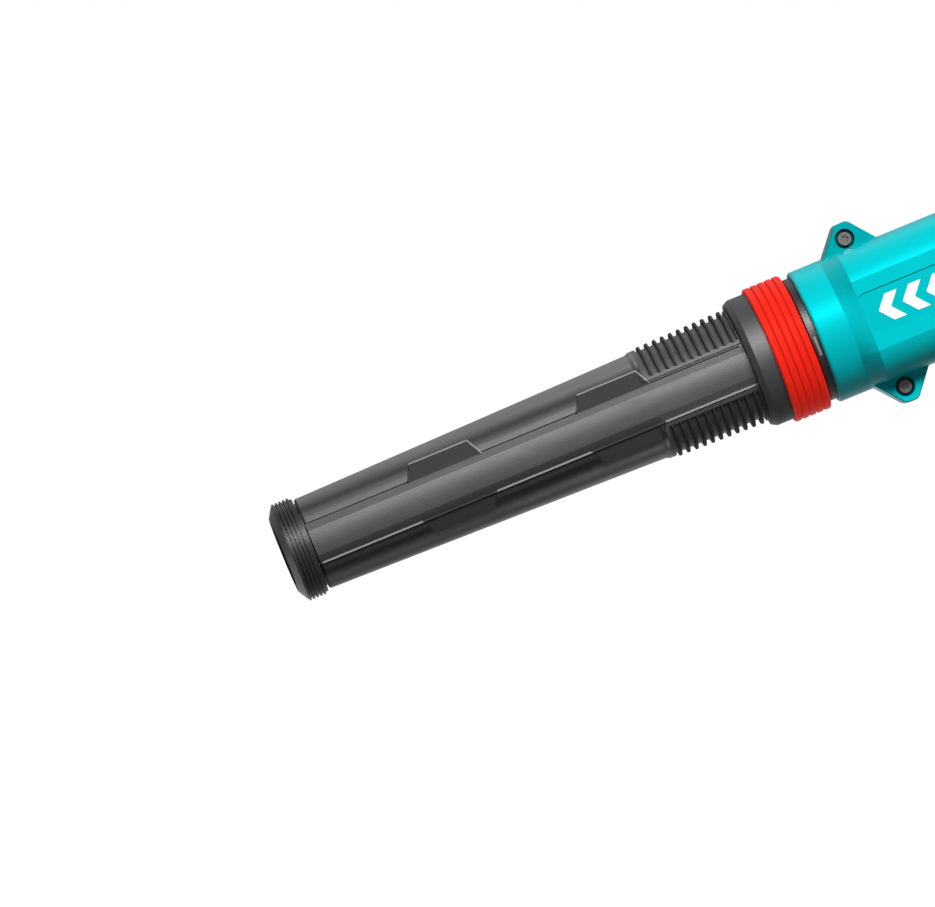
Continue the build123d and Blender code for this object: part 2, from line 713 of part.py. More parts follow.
def housing_body():
    """Both halves in one, before they are parted."""
    body = housing_outer() - housing_hollow()
    body += inner_ribs()
    body -= housing_cuts()
    body -= cross_rod(1.5 + running / 2, trigger_x, trigger_z, -handle_half + 2.4, handle_half - 2.4)
    for x, z in screw_places():
        seat_y = head_seat(z)
        body -= cross_rod(screw_recess_r, x, z, -fan_r, seat_y)
        body -= cross_rod(screw_clear_r, x, z, seat_y - 1, 0)
        body -= cross_rod(screw_core_r, x, z, -0.5, seat_y + 18.6)
    return body


def grip_zone():
    """Where the soft grip covers the handle."""
    x0 = trigger_x + 20.0
    x1 = gap_x1 - 3.0
    return plate([
        (x0, grip_z + 16.0), (x0 + 16.0, grip_z + 9.0), (x0 + 16.0, grip_z - 8.0), (x1, grip_z - 8.0),
        (x1, grip_top + 12.0), (x0, grip_top + 12.0),
    ], -handle_half - 2, handle_half + 2)


def grip_skin():
    """The soft layer on the handle, both sides in one."""
    outside = handle_outline(0.0, handle_half, handle_round)
    inside = handle_outline(grip_layer, handle_half - grip_layer, handle_round - grip_layer)
    return (outside - inside) & grip_zone()


def half_space(side):
    """Everything on one side of the parting plane."""
    y0, y1 = sorted((0.0, side * 200.0))
    return block(-50, dock_end + 50, y0, y1, -200, 300)


def housing_screws():
    """The screws that close the housing, each with a star recess in its head."""
    screws = []
    for x, z in screw_places():
        seat_y = head_seat(z)
        head = cross_rod(screw_head_r, x, z, seat_y - 2.6, seat_y - 0.02)
        shank = cross_rod(screw_shank_r, x, z, seat_y - 0.1, seat_y + 18.0)
        star = cross_rod(1.5, x, z, seat_y - 3.0, seat_y - 1.2)
        for k in range(6):
            a = math.radians(60 * k)
            lobe_x = x + 1.55 * math.cos(a)
            lobe_z = z + 1.55 * math.sin(a)
            star += cross_rod(0.62, lobe_x, lobe_z, seat_y - 3.0, seat_y - 1.2)
        screws.append(head + shank - star)
    return Compound(screws)


def foot_pad(x_foot):
    """A rubber foot under one foot block."""
    pad = block(x_foot + 1, x_foot + 29, -foot_half + 1, foot_half - 1, -foot_drop - foot_height, -foot_drop)
    pad = fillet(pad.edges().filter_by(Axis.Z), 4.0)
    return chamfer(pad.faces().sort_by(Axis.Z)[0].edges(), 1.0)


# ---------------------------------------------------------------- fan and motor
def motor_can():
    """The motor's cup, closed at the downstream end."""
    can = ring(motor_r, motor_r - 1.4, motor_x, motor_end)
    return can + ring(motor_r - 0.5, 8.0, motor_x, motor_x + 4.6)


def motor_end_plate():
    """The plate that closes the motor on the fan side and holds its bearing."""
    return ring(motor_r, 8.0, motor_end + 0.05, motor_end + 5.0)


def motor_windings():
    """The copper windings round the rotor."""
    core = ring(motor_r - 1.5, 10.6, motor_x + 9.0, motor_end - 8.0)
    for k in range(6):
        coil = block(motor_x + 5.5, motor_end - 4.5, -3.6, 3.6, 11.0, 15.4)
        core += Rot(k * 60, 0, 0) * fillet(coil.edges().filter_by(Axis.Z), 2.0)
    return core


def motor_bearings():
    """The two ball bearings that carry the shaft."""
    first = ring(7.95, shaft_r + running, motor_x + 0.2, motor_x + 4.4)
    second = ring(7.95, shaft_r + running, motor_end + 0.4, motor_end + 4.6)
    return Compound([first, second])


def rotor_magnets():
    """The magnet ring on the shaft."""
    return ring(9.9, shaft_r + 0.02, motor_x + 9.0, motor_end - 8.0)


def impeller():
    """The axial fan wheel."""
    body = ring(hub_r, hub_r - 2.4, impeller_x, impeller_end)
    body += rod(hub_r - 1.0, impeller_x + 1.0, impeller_x + 4.5)
    body += rod(7.0, impeller_x + 1.0, impeller_x + 10.0)
    swept = ring(blade_r, hub_r - 1.2, impeller_x + 0.5, impeller_end - 0.5)
    for k in range(blade_count):
        low = [(-11.5, -4.6), (-11.5, -3.0), (11.5, 5.0), (11.5, 3.0)]
        high = [(-8.0, -9.2), (-8.0, -7.9), (8.0, 9.4), (8.0, 7.8)]
        middle = (impeller_x + impeller_end) / 2
        root = make_face(Polyline(*[(middle + u, v, hub_r - 4.0) for u, v in low], close=True))
        tip = make_face(Polyline(*[(middle + u, v, blade_r + 4.0) for u, v in high], close=True))
        blade = loft([root, tip], ruled=True)
        body += Rot(k * 360 / blade_count, 0, 0) * blade & swept
    return body - rod(shaft_r + 0.02, impeller_x, impeller_x + 12)


def impeller_nut():
    """The nut that clamps the fan wheel on the shaft."""
    hexagon = extrude(Plane.YZ.offset(impeller_x + 10.05) * RegularPolygon(4.6, 6), amount=4.0)
    return hexagon - rod(shaft_r + 0.02, impeller_x + 9, impeller_x + 16)


def spinner_cap():
    """The dome that closes the fan hub."""
    x0 = impeller_end + 0.1
    base = Polyline((x0 + 8.0, 0, 0), (x0 + 6.5, 0, 0), (x0, 0, hub_r - 3.5), (x0 - 4.0, 0, hub_r - 3.5),
                    (x0 - 4.0, 0, hub_r - 2.5), (x0, 0, hub_r - 2.5), (x0, 0, hub_r - 0.2))
    curve = Bezier((x0, 0, hub_r - 0.2), (x0 + 5.0, 0, hub_r - 1.0), (x0 + 8.0, 0, hub_r * 0.5),
                   (x0 + 8.0, 0, 0))
    return revolve(make_face(Curve() + [base, curve]), axis=Axis.X)


# ---------------------------------------------------------------- controls
def trigger():
    """The finger lever under the front of the grip."""
    x = trigger_x
    z = trigger_z
    body = plate([
        (x - 4.2, z + 2.5), (x + 29.5, z + 2.5), (x + 29.5, z - 8.0), (x + 26.0, z - 17.0),
        (x + 20.0, z - 18.0), (x + 9.0, z - 13.0), (x + 1.0, z - 9.0), (x - 4.2, z - 6.0),
    ], -7.6, 7.6)
    body = fillet(body.faces().filter_by(Plane.XZ).edges(), 1.2)
    return body - cross_rod(1.5 + running, x, z, -9, 9)


def switch_module():
    """The speed switch above the trigger."""
    x = trigger_x + 15.0
    z = trigger_z + 11.0
    body = block(x, x + 32.0, -8.0, 8.0, z, z + 7.0)
    body = fillet(body.edges().filter_by(Axis.Z), 1.0)
    return body - up_rod(3.0 + fit, trigger_x + 21.0, 0, z - 1, z + 6.6)


def switch_plunger():
    """The plunger that the trigger pushes into the switch."""
    return up_rod(3.0, trigger_x + 21.0, 0, trigger_z + 2.8, trigger_z + 11.8)


def turbo_button():
    """The full-power button on top of the grip."""
    top = grip_top + 1.6
    button = up_rod(5.0, turbo_x, 0, grip_top - 5.6, top)
    button += up_rod(6.4, turbo_x, 0, grip_top - 5.6, grip_top - 3.3)
    button += up_rod(3.0, turbo_x, 0, grip_top - 9.6, grip_top - 5.0)
    return fillet(button.edges().filter_by(GeomType.CIRCLE).sort_by(Axis.Z)[-1:], 1.0)


def turbo_switch():
    """The small key switch under the full-power button."""
    z = trigger_z + 7.0
    body = block(turbo_x - 3.0, turbo_x + 3.0, -3.0, 3.0, z, z + 1.6)
    return body + up_rod(1.6, turbo_x, 0, z + 1.5, z + 2.0)


def switch_board():
    """The small circuit board that carries the key switch."""
    z = trigger_z + 7.0
    return block(turbo_x - 9.0, turbo_x + 3.4, -11.0, 11.0, z - 1.6, z)


def speed_dial():
    """The thumbwheel that limits the speed."""
    wheel = cross_rod(dial_r, dial_x, dial_z, -4.0, 4.0)
    wheel = chamfer(wheel.edges().filter_by(GeomType.CIRCLE), 0.8)
    for k in range(24):
        a = math.radians(15 * k)
        rim_x = dial_x + (dial_r + 0.2) * math.cos(a)
        rim_z = dial_z + (dial_r + 0.2) * math.sin(a)
        wheel -= cross_rod(0.7, rim_x, rim_z, -5, 5)
    return wheel - cross_rod(1.52, dial_x, dial_z, -5, 5)


def dial_shaft():
    """The dial's shaft, which turns in the sensor."""
    return cross_rod(1.5, dial_x, dial_z, -4.0, 9.0)


def dial_sensor():
    """The sensor that reads the dial."""
    body = block(dial_x - 6.0, dial_x + 6.0, 5.2, 10.6, dial_z - 7.0, dial_z + 3.5)
    return body - cross_rod(1.5 + running, dial_x, dial_z, 4.0, 9.6)


# ---------------------------------------------------------------- electronics
def controller_board():
    """The motor controller over the battery."""
    board = block(battery_x + 10.0, battery_x + 80.0, -27.0, 27.0, board_z, board_z + 1.6)
    for i in range(6):
        x = battery_x + 18.0 + i * 9.0
        board += block(x, x + 6.0, -22.0, -16.0, board_z + 1.5, board_z + 3.4)
    return board


def controller_capacitors():
    """The two storage capacitors on the controller board."""
    z = board_z + 1.7 + 4.0
    return Compound([rod(4.0, battery_x + 20.0, battery_x + 40.0, y, z) for y in (8.0, 18.0)])


def heat_sink():
    """The finned plate that cools the controller's transistors."""
    x0 = battery_x + 46.0
    body = block(x0, x0 + 28.0, 2.0, 24.0, board_z + 1.7, board_z + 3.4)
    for i in range(6):
        y = 2.0 + i * 4.0
        body += block(x0, x0 + 28.0, y, y + 1.6, board_z + 3.0, board_z + 8.6)
    return body


def dock_terminals():
    """The block of contacts that plugs into the battery."""
    x0 = battery_x - 4.4
    base = block(x0, x0 + 4.6, -15.0, 15.0, dock_z + rail_lip + 0.4, rail_top + 1.8)
    for y in contact_places:
        base += block(x0 + 4.0, x0 + 16.0, y - 0.4, y + 0.4, dock_z + rail_lip + 0.9, rail_top - 0.9)
    return base


def wire(points, radii, r):
    """An insulated wire along straight runs and tangent arcs."""
    path = FilletPolyline(*points, radius=radii)
    start = Plane(origin=path @ 0, z_dir=path % 0)
    return sweep(start * Circle(r), path=path)


def battery_wire(y):
    """One wire from the dock's contacts to the speed switch."""
    z_dock = dock_z + rail_lip + 3.0
    z_switch = trigger_z + 14.5
    x_start = battery_x - 4.5
    x_end = trigger_x + 47.2
    return wire([(x_start, y, z_dock), (x_start - 22.0, y, z_dock), (x_end + 16.0, y, z_switch),
                 (x_end, y, z_switch)], [16.0, 16.0], 1.1)


def motor_leads():
    """The three leads from the controller down to the motor."""
    leads = []
    x_drop = gap_x1 + 6.0
    z_run = (shroud_r + fan_in) / 2
    for y in (-3.4, 0.0, 3.4):
        leads.append(wire([
            (battery_x + 9.8, y, board_z + 0.8), (x_drop, y, board_z + 0.8), (x_drop, y, z_run),
            (lead_x, y, z_run), (lead_x, y, pod_r + seat),
        ], [7.0, 5.0, 4.0], 1.15))
    return Compound(leads)


# ---------------------------------------------------------------- battery
def battery_shell():
    """The outside of the battery, with its rail on top."""
    body = block(battery_x, battery_end, -battery_half, battery_half, battery_z, battery_top)
    body = fillet(body.edges().filter_by(Axis.Z), 8.0)
    body = fillet(body.faces().sort_by(Axis.Z)[0].edges(), 4.0)
    body += block(battery_x + 0.5, battery_end - 12.0, -rail_neck_half, rail_neck_half, battery_top - 1,
                  dock_z + rail_lip + 1)
    body += block(battery_x + 0.5, battery_end - 12.0, -rail_half, rail_half, dock_z + rail_lip, rail_top)
    return body


def battery_hollow():
    """The space inside the battery."""
    return block(battery_x + battery_wall, battery_end - battery_wall - 10.0, -battery_half + battery_wall,
                 battery_half - battery_wall, battery_z + battery_wall, battery_top - battery_wall)


def battery_split(low):
    """The lower or the upper half of the battery case."""
    body = battery_shell() - battery_hollow()
    for y in contact_places:
        body -= block(battery_x - 1, battery_x + 15.0, y - 0.9, y + 0.9, dock_z + rail_lip - 0.5,
                      rail_top + 1)
    latch = block(battery_end - 10.0, battery_end + 1, -14.5, 14.5, battery_top - 18.0, battery_top + 1)
    body -= latch
    body -= rod(4.0 + fit, battery_end - 9.0, battery_end + 1, level_y, battery_z + 34.0)
    for x, y in battery_screw_places():
        body -= up_rod(screw_clear_r, x, y, battery_z - 1, battery_split_z)
        body -= up_rod(screw_core_r, x, y, battery_split_z - 4.0, battery_split_z + 5.0)
        body -= up_rod(screw_recess_r - 1.0, x, y, battery_z - 1, battery_z + 3.0)
    z0, z1 = (battery_z - 5, battery_split_z) if low else (battery_split_z, rail_top + 5)
    return body & block(battery_x - 5, battery_end + 5, -60, 60, z0, z1)


def battery_screw_places():
    """Where the battery's screws stand, as (x, y)."""
    x = battery_end - 5.6
    return [(x, -28.0), (x, 28.0)]


def battery_screws():
    """The screws that close the battery case."""
    screws = []
    for x, y in battery_screw_places():
        head = up_rod(3.4, x, y, battery_z + 0.5, battery_z + 2.95)
        shank = up_rod(screw_shank_r, x, y, battery_z + 2.9, battery_z + 28.0)
        star = extrude(Pos(x, y, battery_z - 0.5) * RegularPolygon(2.0, 6), amount=2.4)
        screws.append(head + shank - star)
    return Compound(screws)


def cell_positions():
    """The cells' middles along X."""
    room = battery_length - 2 * battery_wall - 10.0
    pitch = room / cell_count
    return [battery_x + battery_wall + pitch * (i + 0.5) for i in range(cell_count)]


def battery_cells():
    """The row of cells."""
    z = battery_z + battery_wall + cell_r + 1.0
    cells = []
    for x in cell_positions():
        cell = cross_rod(cell_r, x, z, -cell_length / 2, cell_length / 2)
        cells.append(cell + cross_rod(3.0, x, z, cell_length / 2 - 0.1, cell_length / 2 + 0.9))
    return Compound(cells)


def cell_holders():
    """The two frames that keep the cells apart."""
    z = battery_z + battery_wall + cell_r + 1.0
    frames = []
    for y in (-24.0, 20.0):
        frame = block(battery_x + battery_wall + 0.2, battery_end - battery_wall - 10.2, y, y + 4.0,
                      battery_z + battery_wall + 0.1, z + cell_r + 2.0)
        for x in cell_positions():
            frame -= cross_rod(cell_r + seat, x, z, y - 1, y + 5)
        frames.append(frame)
    return Compound(frames)


def battery_board():
    """The battery's protection board."""
    z = battery_z + battery_wall + 2 * cell_r + 5.0
    board = block(battery_x + 6.0, battery_end - 16.0, -26.0, 26.0, z, z + 1.6)
    return board + block(battery_x + 20.0, battery_x + 34.0, -18.0, 18.0, z + 1.5, z + 4.0)


def battery_latch_button():
    """The button on the battery's end that lets it slide off."""
    x0 = battery_end - 9.4
    body = plate([
        (x0, battery_top - 12.5), (x0 + 7.2, battery_top - 12.5), (x0 + 12.6, battery_top - 10.0),
        (x0 + 12.6, battery_top - 3.5), (x0 + 9.0, battery_top - 0.4), (x0, battery_top - 0.4),
    ], -14.0, 14.0)
    return fillet(body.faces().filter_by(Plane.XZ).edges(), 0.8)


def battery_latch_spring():
    """The coil under the release button."""
    z0 = battery_top - 17.9
    height = 5.2
    path = Helix(1.3, height - 0.9, 3.2, center=(battery_end - 5.4, 0, z0 + 0.45))
    start = Plane(origin=path @ 0, z_dir=path % 0)
    return sweep(start * Circle(0.4), path=path)


def battery_level_button():
    """The small button that shows the charge."""
    button = rod(4.0, battery_end - 6.0, battery_end + 0.8, level_y, battery_z + 34.0)
    return fillet(button.edges().filter_by(GeomType.CIRCLE).sort_by(Axis.X)[-1:], 0.5)


# ---------------------------------------------------------------- write the pieces
def main():
    os.makedirs("parts", exist_ok=True)
    body = housing_body()
    skin = grip_skin()
    for side, name in ((-1, "left"), (1, "right")):
        half = half_space(side)
        write((body - skin) & half, "housing_" + name)
        write(skin & half, "grip_" + name)
    pieces = {
        "nozzle_tube": nozzle_tube(),
        "mouth_ring": mouth_ring(),
        "tube_collar": tube_collar(),
        "release_sleeve": release_sleeve(),
        "sleeve_spring": sleeve_spring(),
        "sleeve_retaining_ring": sleeve_retaining_ring(),
        "outlet_spigot": outlet_spigot(),
        "spigot_seal": spigot_seal(),
        "outlet_duct": outlet_duct(),
        "stator_housing": stator_housing(),
        "tail_cone": tail_cone(),
        "inlet_bell": inlet_bell(),
        "front_isolator": isolator(stator_x + 4.0),
        "rear_isolator": isolator(shroud_end - 10.0),
        "intake_grille": intake_grille(),
        "housing_screws": housing_screws(),
        "front_foot": foot_pad(front_foot_x),
        "rear_foot": foot_pad(rear_foot_x),
        "motor_can": motor_can(),
        "motor_end_plate": motor_end_plate(),
        "motor_windings": motor_windings(),
        "motor_bearings": motor_bearings(),
        "motor_shaft": rod(shaft_r, motor_x + 0.4, impeller_x + 15.0),
        "rotor_magnets": rotor_magnets(),
        "impeller": impeller(),
        "impeller_nut": impeller_nut(),
        "spinner_cap": spinner_cap(),
        "trigger": trigger(),
        "trigger_pin": cross_rod(1.5, trigger_x, trigger_z, -handle_half + 2.5, handle_half - 2.5),
        "switch_module": switch_module(),
        "switch_plunger": switch_plunger(),
        "switch_board": switch_board(),
        "turbo_switch": turbo_switch(),
        "turbo_button": turbo_button(),
        "speed_dial": speed_dial(),
        "dial_shaft": dial_shaft(),
        "dial_sensor": dial_sensor(),
        "controller_board": controller_board(),
        "controller_capacitors": controller_capacitors(),
        "heat_sink": heat_sink(),
        "dock_terminals": dock_terminals(),
        "battery_wire_red": battery_wire(-6.5),
        "battery_wire_black": battery_wire(6.5),
        "motor_leads": motor_leads(),
        "battery_case_top": battery_split(False),
        "battery_case_bottom": battery_split(True),
        "battery_screws": battery_screws(),
        "battery_cells": battery_cells(),
        "cell_holders": cell_holders(),
        "battery_board": battery_board(),
        "battery_latch_button": battery_latch_button(),
        "battery_latch_spring": battery_latch_spring(),
        "battery_level_button": battery_level_button(),
    }
    for node, solid in pieces.items():
        write(solid, node)


main()
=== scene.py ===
"""Dresses the leaf blower: finishes for every part, small surface details, studio and camera."""
from __future__ import annotations

import json
import logging
import math
from dataclasses import dataclass
from enum import Enum
from typing import Callable, Iterable, Sequence

import bpy
from mathutils import Matrix, Vector

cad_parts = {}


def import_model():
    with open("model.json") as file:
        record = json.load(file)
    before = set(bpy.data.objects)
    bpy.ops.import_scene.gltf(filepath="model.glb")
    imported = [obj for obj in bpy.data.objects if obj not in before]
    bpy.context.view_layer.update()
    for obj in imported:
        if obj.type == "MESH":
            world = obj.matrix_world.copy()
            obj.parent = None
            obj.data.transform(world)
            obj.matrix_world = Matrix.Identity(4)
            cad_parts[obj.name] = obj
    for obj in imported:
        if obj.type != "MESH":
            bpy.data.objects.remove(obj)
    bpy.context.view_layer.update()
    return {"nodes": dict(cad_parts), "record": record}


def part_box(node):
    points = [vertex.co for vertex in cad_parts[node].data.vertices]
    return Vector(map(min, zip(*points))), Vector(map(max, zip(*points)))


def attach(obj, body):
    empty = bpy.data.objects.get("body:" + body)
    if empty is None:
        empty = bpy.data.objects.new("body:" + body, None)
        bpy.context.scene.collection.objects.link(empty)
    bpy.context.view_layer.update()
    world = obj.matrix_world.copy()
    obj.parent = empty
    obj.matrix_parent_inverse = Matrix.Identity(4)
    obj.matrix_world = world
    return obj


logging.basicConfig(level=logging.INFO, format="%(message)s")
log = logging.getLogger("blower")

Colour = tuple[float, float, float]
Point = tuple[float, float, float]
Span = tuple[float, float]
MM = 0.001
VIEW_WIDTH = 514.25 * MM


# ------------------------------------------------------------------ shader maths
@dataclass
class Wire:
    """One output socket of a shader node, with arithmetic."""

    recipe: "Recipe"
    socket: bpy.types.NodeSocket

    def _maths(self, operation: str, *values: "Wire | float") -> "Wire":
        """Adds one Math node.

        Args:
            operation: the Math node's operation.
            values: its inputs in order.
        Returns:
            The node's output.
        """
        inputs = dict(enumerate(values))
        return self.recipe.node("ShaderNodeMath", {"operation": operation}, inputs)

    def __add__(self, other: "Wire | float") -> "Wire":
        """self + other."""
        return self._maths("ADD", self, other)

    def __radd__(self, other: float) -> "Wire":
        """other + self."""
        return self._maths("ADD", other, self)

    def __sub__(self, other: "Wire | float") -> "Wire":
        """self - other."""
        return self._maths("SUBTRACT", self, other)

    def __rsub__(self, other: float) -> "Wire":
        """other - self."""
        return self._maths("SUBTRACT", other, self)

    def __mul__(self, other: "Wire | float") -> "Wire":
        """self * other."""
        return self._maths("MULTIPLY", self, other)

    def __rmul__(self, other: float) -> "Wire":
        """other * self."""
        return self._maths("MULTIPLY", other, self)

    def __truediv__(self, other: "Wire | float") -> "Wire":
        """self / other."""
        return self._maths("DIVIDE", self, other)

    def __pow__(self, other: float) -> "Wire":
        """self raised to other."""
        return self._maths("POWER", self, other)

    def __lt__(self, other: "Wire | float") -> "Wire":
        """1 where self is under other."""
        return self._maths("LESS_THAN", self, other)

    def __gt__(self, other: "Wire | float") -> "Wire":
        """1 where self is over other."""
        return self._maths("GREATER_THAN", self, other)

    def size(self) -> "Wire":
        """The absolute value."""
        return self._maths("ABSOLUTE", self)

    def wave(self) -> "Wire":
        """The sine."""
        return self._maths("SINE", self)

    def root(self) -> "Wire":
        """The square root."""
        return self._maths("SQRT", self)

    def part(self) -> "Wire":
        """The fraction above the whole number."""
        return self._maths("FRACT", self)

    def least(self, other: "Wire | float") -> "Wire":
        """The smaller of two."""
        return self._maths("MINIMUM", self, other)

    def smooth(self, low: float, high: float) -> "Wire":
        """A smooth step from 0 at low to 1 at high."""
        return self.recipe.node(
            "ShaderNodeMapRange", {"interpolation_type": "SMOOTHSTEP"},
            {"Value": self, "From Min": low, "From Max": high, "To Min": 0.0, "To Max": 1.0})

    def hump(self, rise: "Span", fall: "Span") -> "Wire":
        """A smooth hump that rises over one span and falls over another."""
        return self.smooth(*rise) * (1.0 - self.smooth(*fall))


class Recipe:
    """A material under construction: its nodes, and the object coordinates that patterns read."""

    def __init__(self, name: str) -> None:
        """Starts an empty node material.

        Args:
            name: the material's name.
        """
        self.material = bpy.data.materials.new(name)
        self.material.use_nodes = True
        self.tree = self.material.node_tree
        self.tree.nodes.clear()
        self.out = self.tree.nodes.new("ShaderNodeOutputMaterial")
        self.shader = self.tree.nodes.new("ShaderNodeBsdfPrincipled")
        self.tree.links.new(self.shader.outputs["BSDF"], self.out.inputs["Surface"])
        self.place = self.node("ShaderNodeTexCoord", output="Object")
        self._axes: dict[str, Wire] = {}

    def node(self, kind: str, settings: dict | None = None, inputs: dict | None = None,
             output: int | str = 0) -> Wire:
        """Adds a node.

        Args:
            kind: the node's type.
            settings: properties set before the sockets.
            inputs: values or Wires, by socket name or number.
            output: the socket returned.
        Returns:
            The chosen output.
        """
        made = self.tree.nodes.new(kind)
        for key, value in (settings or {}).items():
            setattr(made, key, value)
        for key, value in (inputs or {}).items():
            if isinstance(value, Wire):
                self.tree.links.new(value.socket, made.inputs[key])
            else:
                made.inputs[key].default_value = value
        return Wire(self, made.outputs[output])

    def axis(self, name: str) -> Wire:
        """One object coordinate in metres: "X", "Y" or "Z"."""
        if not self._axes:
            split = self.node("ShaderNodeSeparateXYZ", inputs={"Vector": self.place}, output="X")
            outputs = split.socket.node.outputs
            self._axes = {key: Wire(self, outputs[key]) for key in ("X", "Y", "Z")}
        return self._axes[name]

    def scaled(self, x: float, y: float, z: float) -> Wire:
        """Object coordinates, stretched along each axis."""
        return self.node("ShaderNodeVectorMath", {"operation": "MULTIPLY"}, {0: self.place, 1: (x, y, z)})

    def noise(self, scale: float, detail: float = 3.0, where: Wire | None = None) -> Wire:
        """Fractal noise from 0 to 1 at that many cells per metre."""
        return self.node("ShaderNodeTexNoise", {"noise_dimensions": "3D"},
                         {"Vector": where or self.place, "Scale": scale, "Detail": detail,
                          "Roughness": 0.55})

    def cells(self, scale: float, feature: str = "F1") -> Wire:
        """Distance in a cellular pattern."""
        return self.node("ShaderNodeTexVoronoi", {"feature": feature},
                         {"Vector": self.place, "Scale": scale}, output="Distance")

    def mix(self, amount: Wire | float, low: Colour | Wire, high: Colour | Wire) -> Wire:
        """A colour between two."""
        made = self.tree.nodes.new("ShaderNodeMix")
        made.data_type = "RGBA"
        for socket, value in ((made.inputs[0], amount), (made.inputs[6], low), (made.inputs[7], high)):
            if isinstance(value, Wire):
                self.tree.links.new(value.socket, socket)
            else:
                socket.default_value = (*value, 1.0) if isinstance(value, tuple) else value
        return Wire(self, made.outputs[2])

    def feed(self, name: str, value: Wire | float | Colour) -> None:
        """Sets or links one input of the surface shader."""
        socket = self.shader.inputs[name]
        if isinstance(value, Wire):
            self.tree.links.new(value.socket, socket)
        elif isinstance(value, tuple):
            socket.default_value = (*value, 1.0)
        else:
            socket.default_value = value

    def bump(self, height: Wire, distance: float) -> None:
        """Sends a height in 0 to 1 to the surface normal.

        Args:
            height: the pattern.
            distance: how high 1 stands, in metres.
        """
        normal = self.node("ShaderNodeBump", None,
                           {"Height": height, "Distance": distance, "Strength": 1.0}, "Normal")
        self.feed("Normal", normal)


# ------------------------------------------------------------------ finishes
class Grain(Enum):
    """The fine relief that a mould or a machine leaves on a surface."""

    SPARK = "spark"
    SATIN = "satin"
    GLOSS = "gloss"
    TURNED = "turned"
    BEAD = "bead"


@dataclass(frozen=True)
class Plastic:
    """A moulded plastic, with its grain, a little mottling and dust-dulled patches."""

    name: str
    colour: Colour
    roughness: float
    grain: Grain = Grain.SATIN
    contrast: float = 0.10
    coat: float = 0.0
    specular: float = 0.5
    tint: Colour = (1.0, 1.0, 1.0)
    # painted light: an emission that lifts a part's colour evenly, though it is no lamp
    painted_glow: float = 0.0

    def shade(self, recipe: Recipe) -> tuple[Wire, Wire, Wire]:
        """Builds the colour, the roughness and the height.

        Args:
            recipe: the material to add to.
        Returns:
            The three patterns.
        """
        broad = recipe.noise(28.0, 4.0)
        fine = recipe.noise(520.0, 3.0)
        darker = tuple(c * (1.0 - self.contrast) for c in self.colour)
        lighter = tuple(min(1.0, c * (1.0 + self.contrast) + 0.002) for c in self.colour)
        colour = recipe.mix(broad * 0.7 + fine * 0.3, darker, lighter)
        rough = self.roughness + (broad - 0.5) * 0.10 + (fine - 0.5) * 0.08
        if self.grain is Grain.SPARK:
            height = recipe.cells(1500.0) * 0.7 + recipe.noise(2600.0, 2.0) * 0.3
        elif self.grain is Grain.GLOSS:
            height = recipe.noise(240.0, 2.0) * 0.35
        else:
            height = recipe.noise(1500.0, 2.0)
        return colour, rough, height

    def tone(self, factor: float) -> Colour:
        """The plastic's own colour, darkened or lightened by a factor."""
        return tuple(c * factor for c in self.colour)

    def relief(self) -> float:
        """How deep the grain is, in metres."""
        return {Grain.SPARK: 6e-5, Grain.SATIN: 2.2e-5, Grain.GLOSS: 0.8e-5}.get(self.grain, 2e-5)

    def finish(self, recipe: Recipe) -> None:
        """Sends the plain patterns to the shader."""
        colour, rough, height = self.shade(recipe)
        recipe.feed("Base Color", colour)
        recipe.feed("Roughness", rough)
        recipe.bump(height, self.relief())

    def material(self) -> bpy.types.Material:
        """The finished material."""
        recipe = Recipe(self.name)
        recipe.feed("Coat Weight", self.coat)
        recipe.feed("Coat Roughness", 0.18)
        recipe.feed("Specular IOR Level", self.specular)
        recipe.feed("Specular Tint", self.tint)
        self.finish(recipe)
        # painted light: emission in the part's own hue, so the part looks evenly lit
        if self.painted_glow:
            recipe.feed("Emission Color", tuple(c / max(self.colour) for c in self.colour))
            recipe.feed("Emission Strength", self.painted_glow)
        return recipe.material


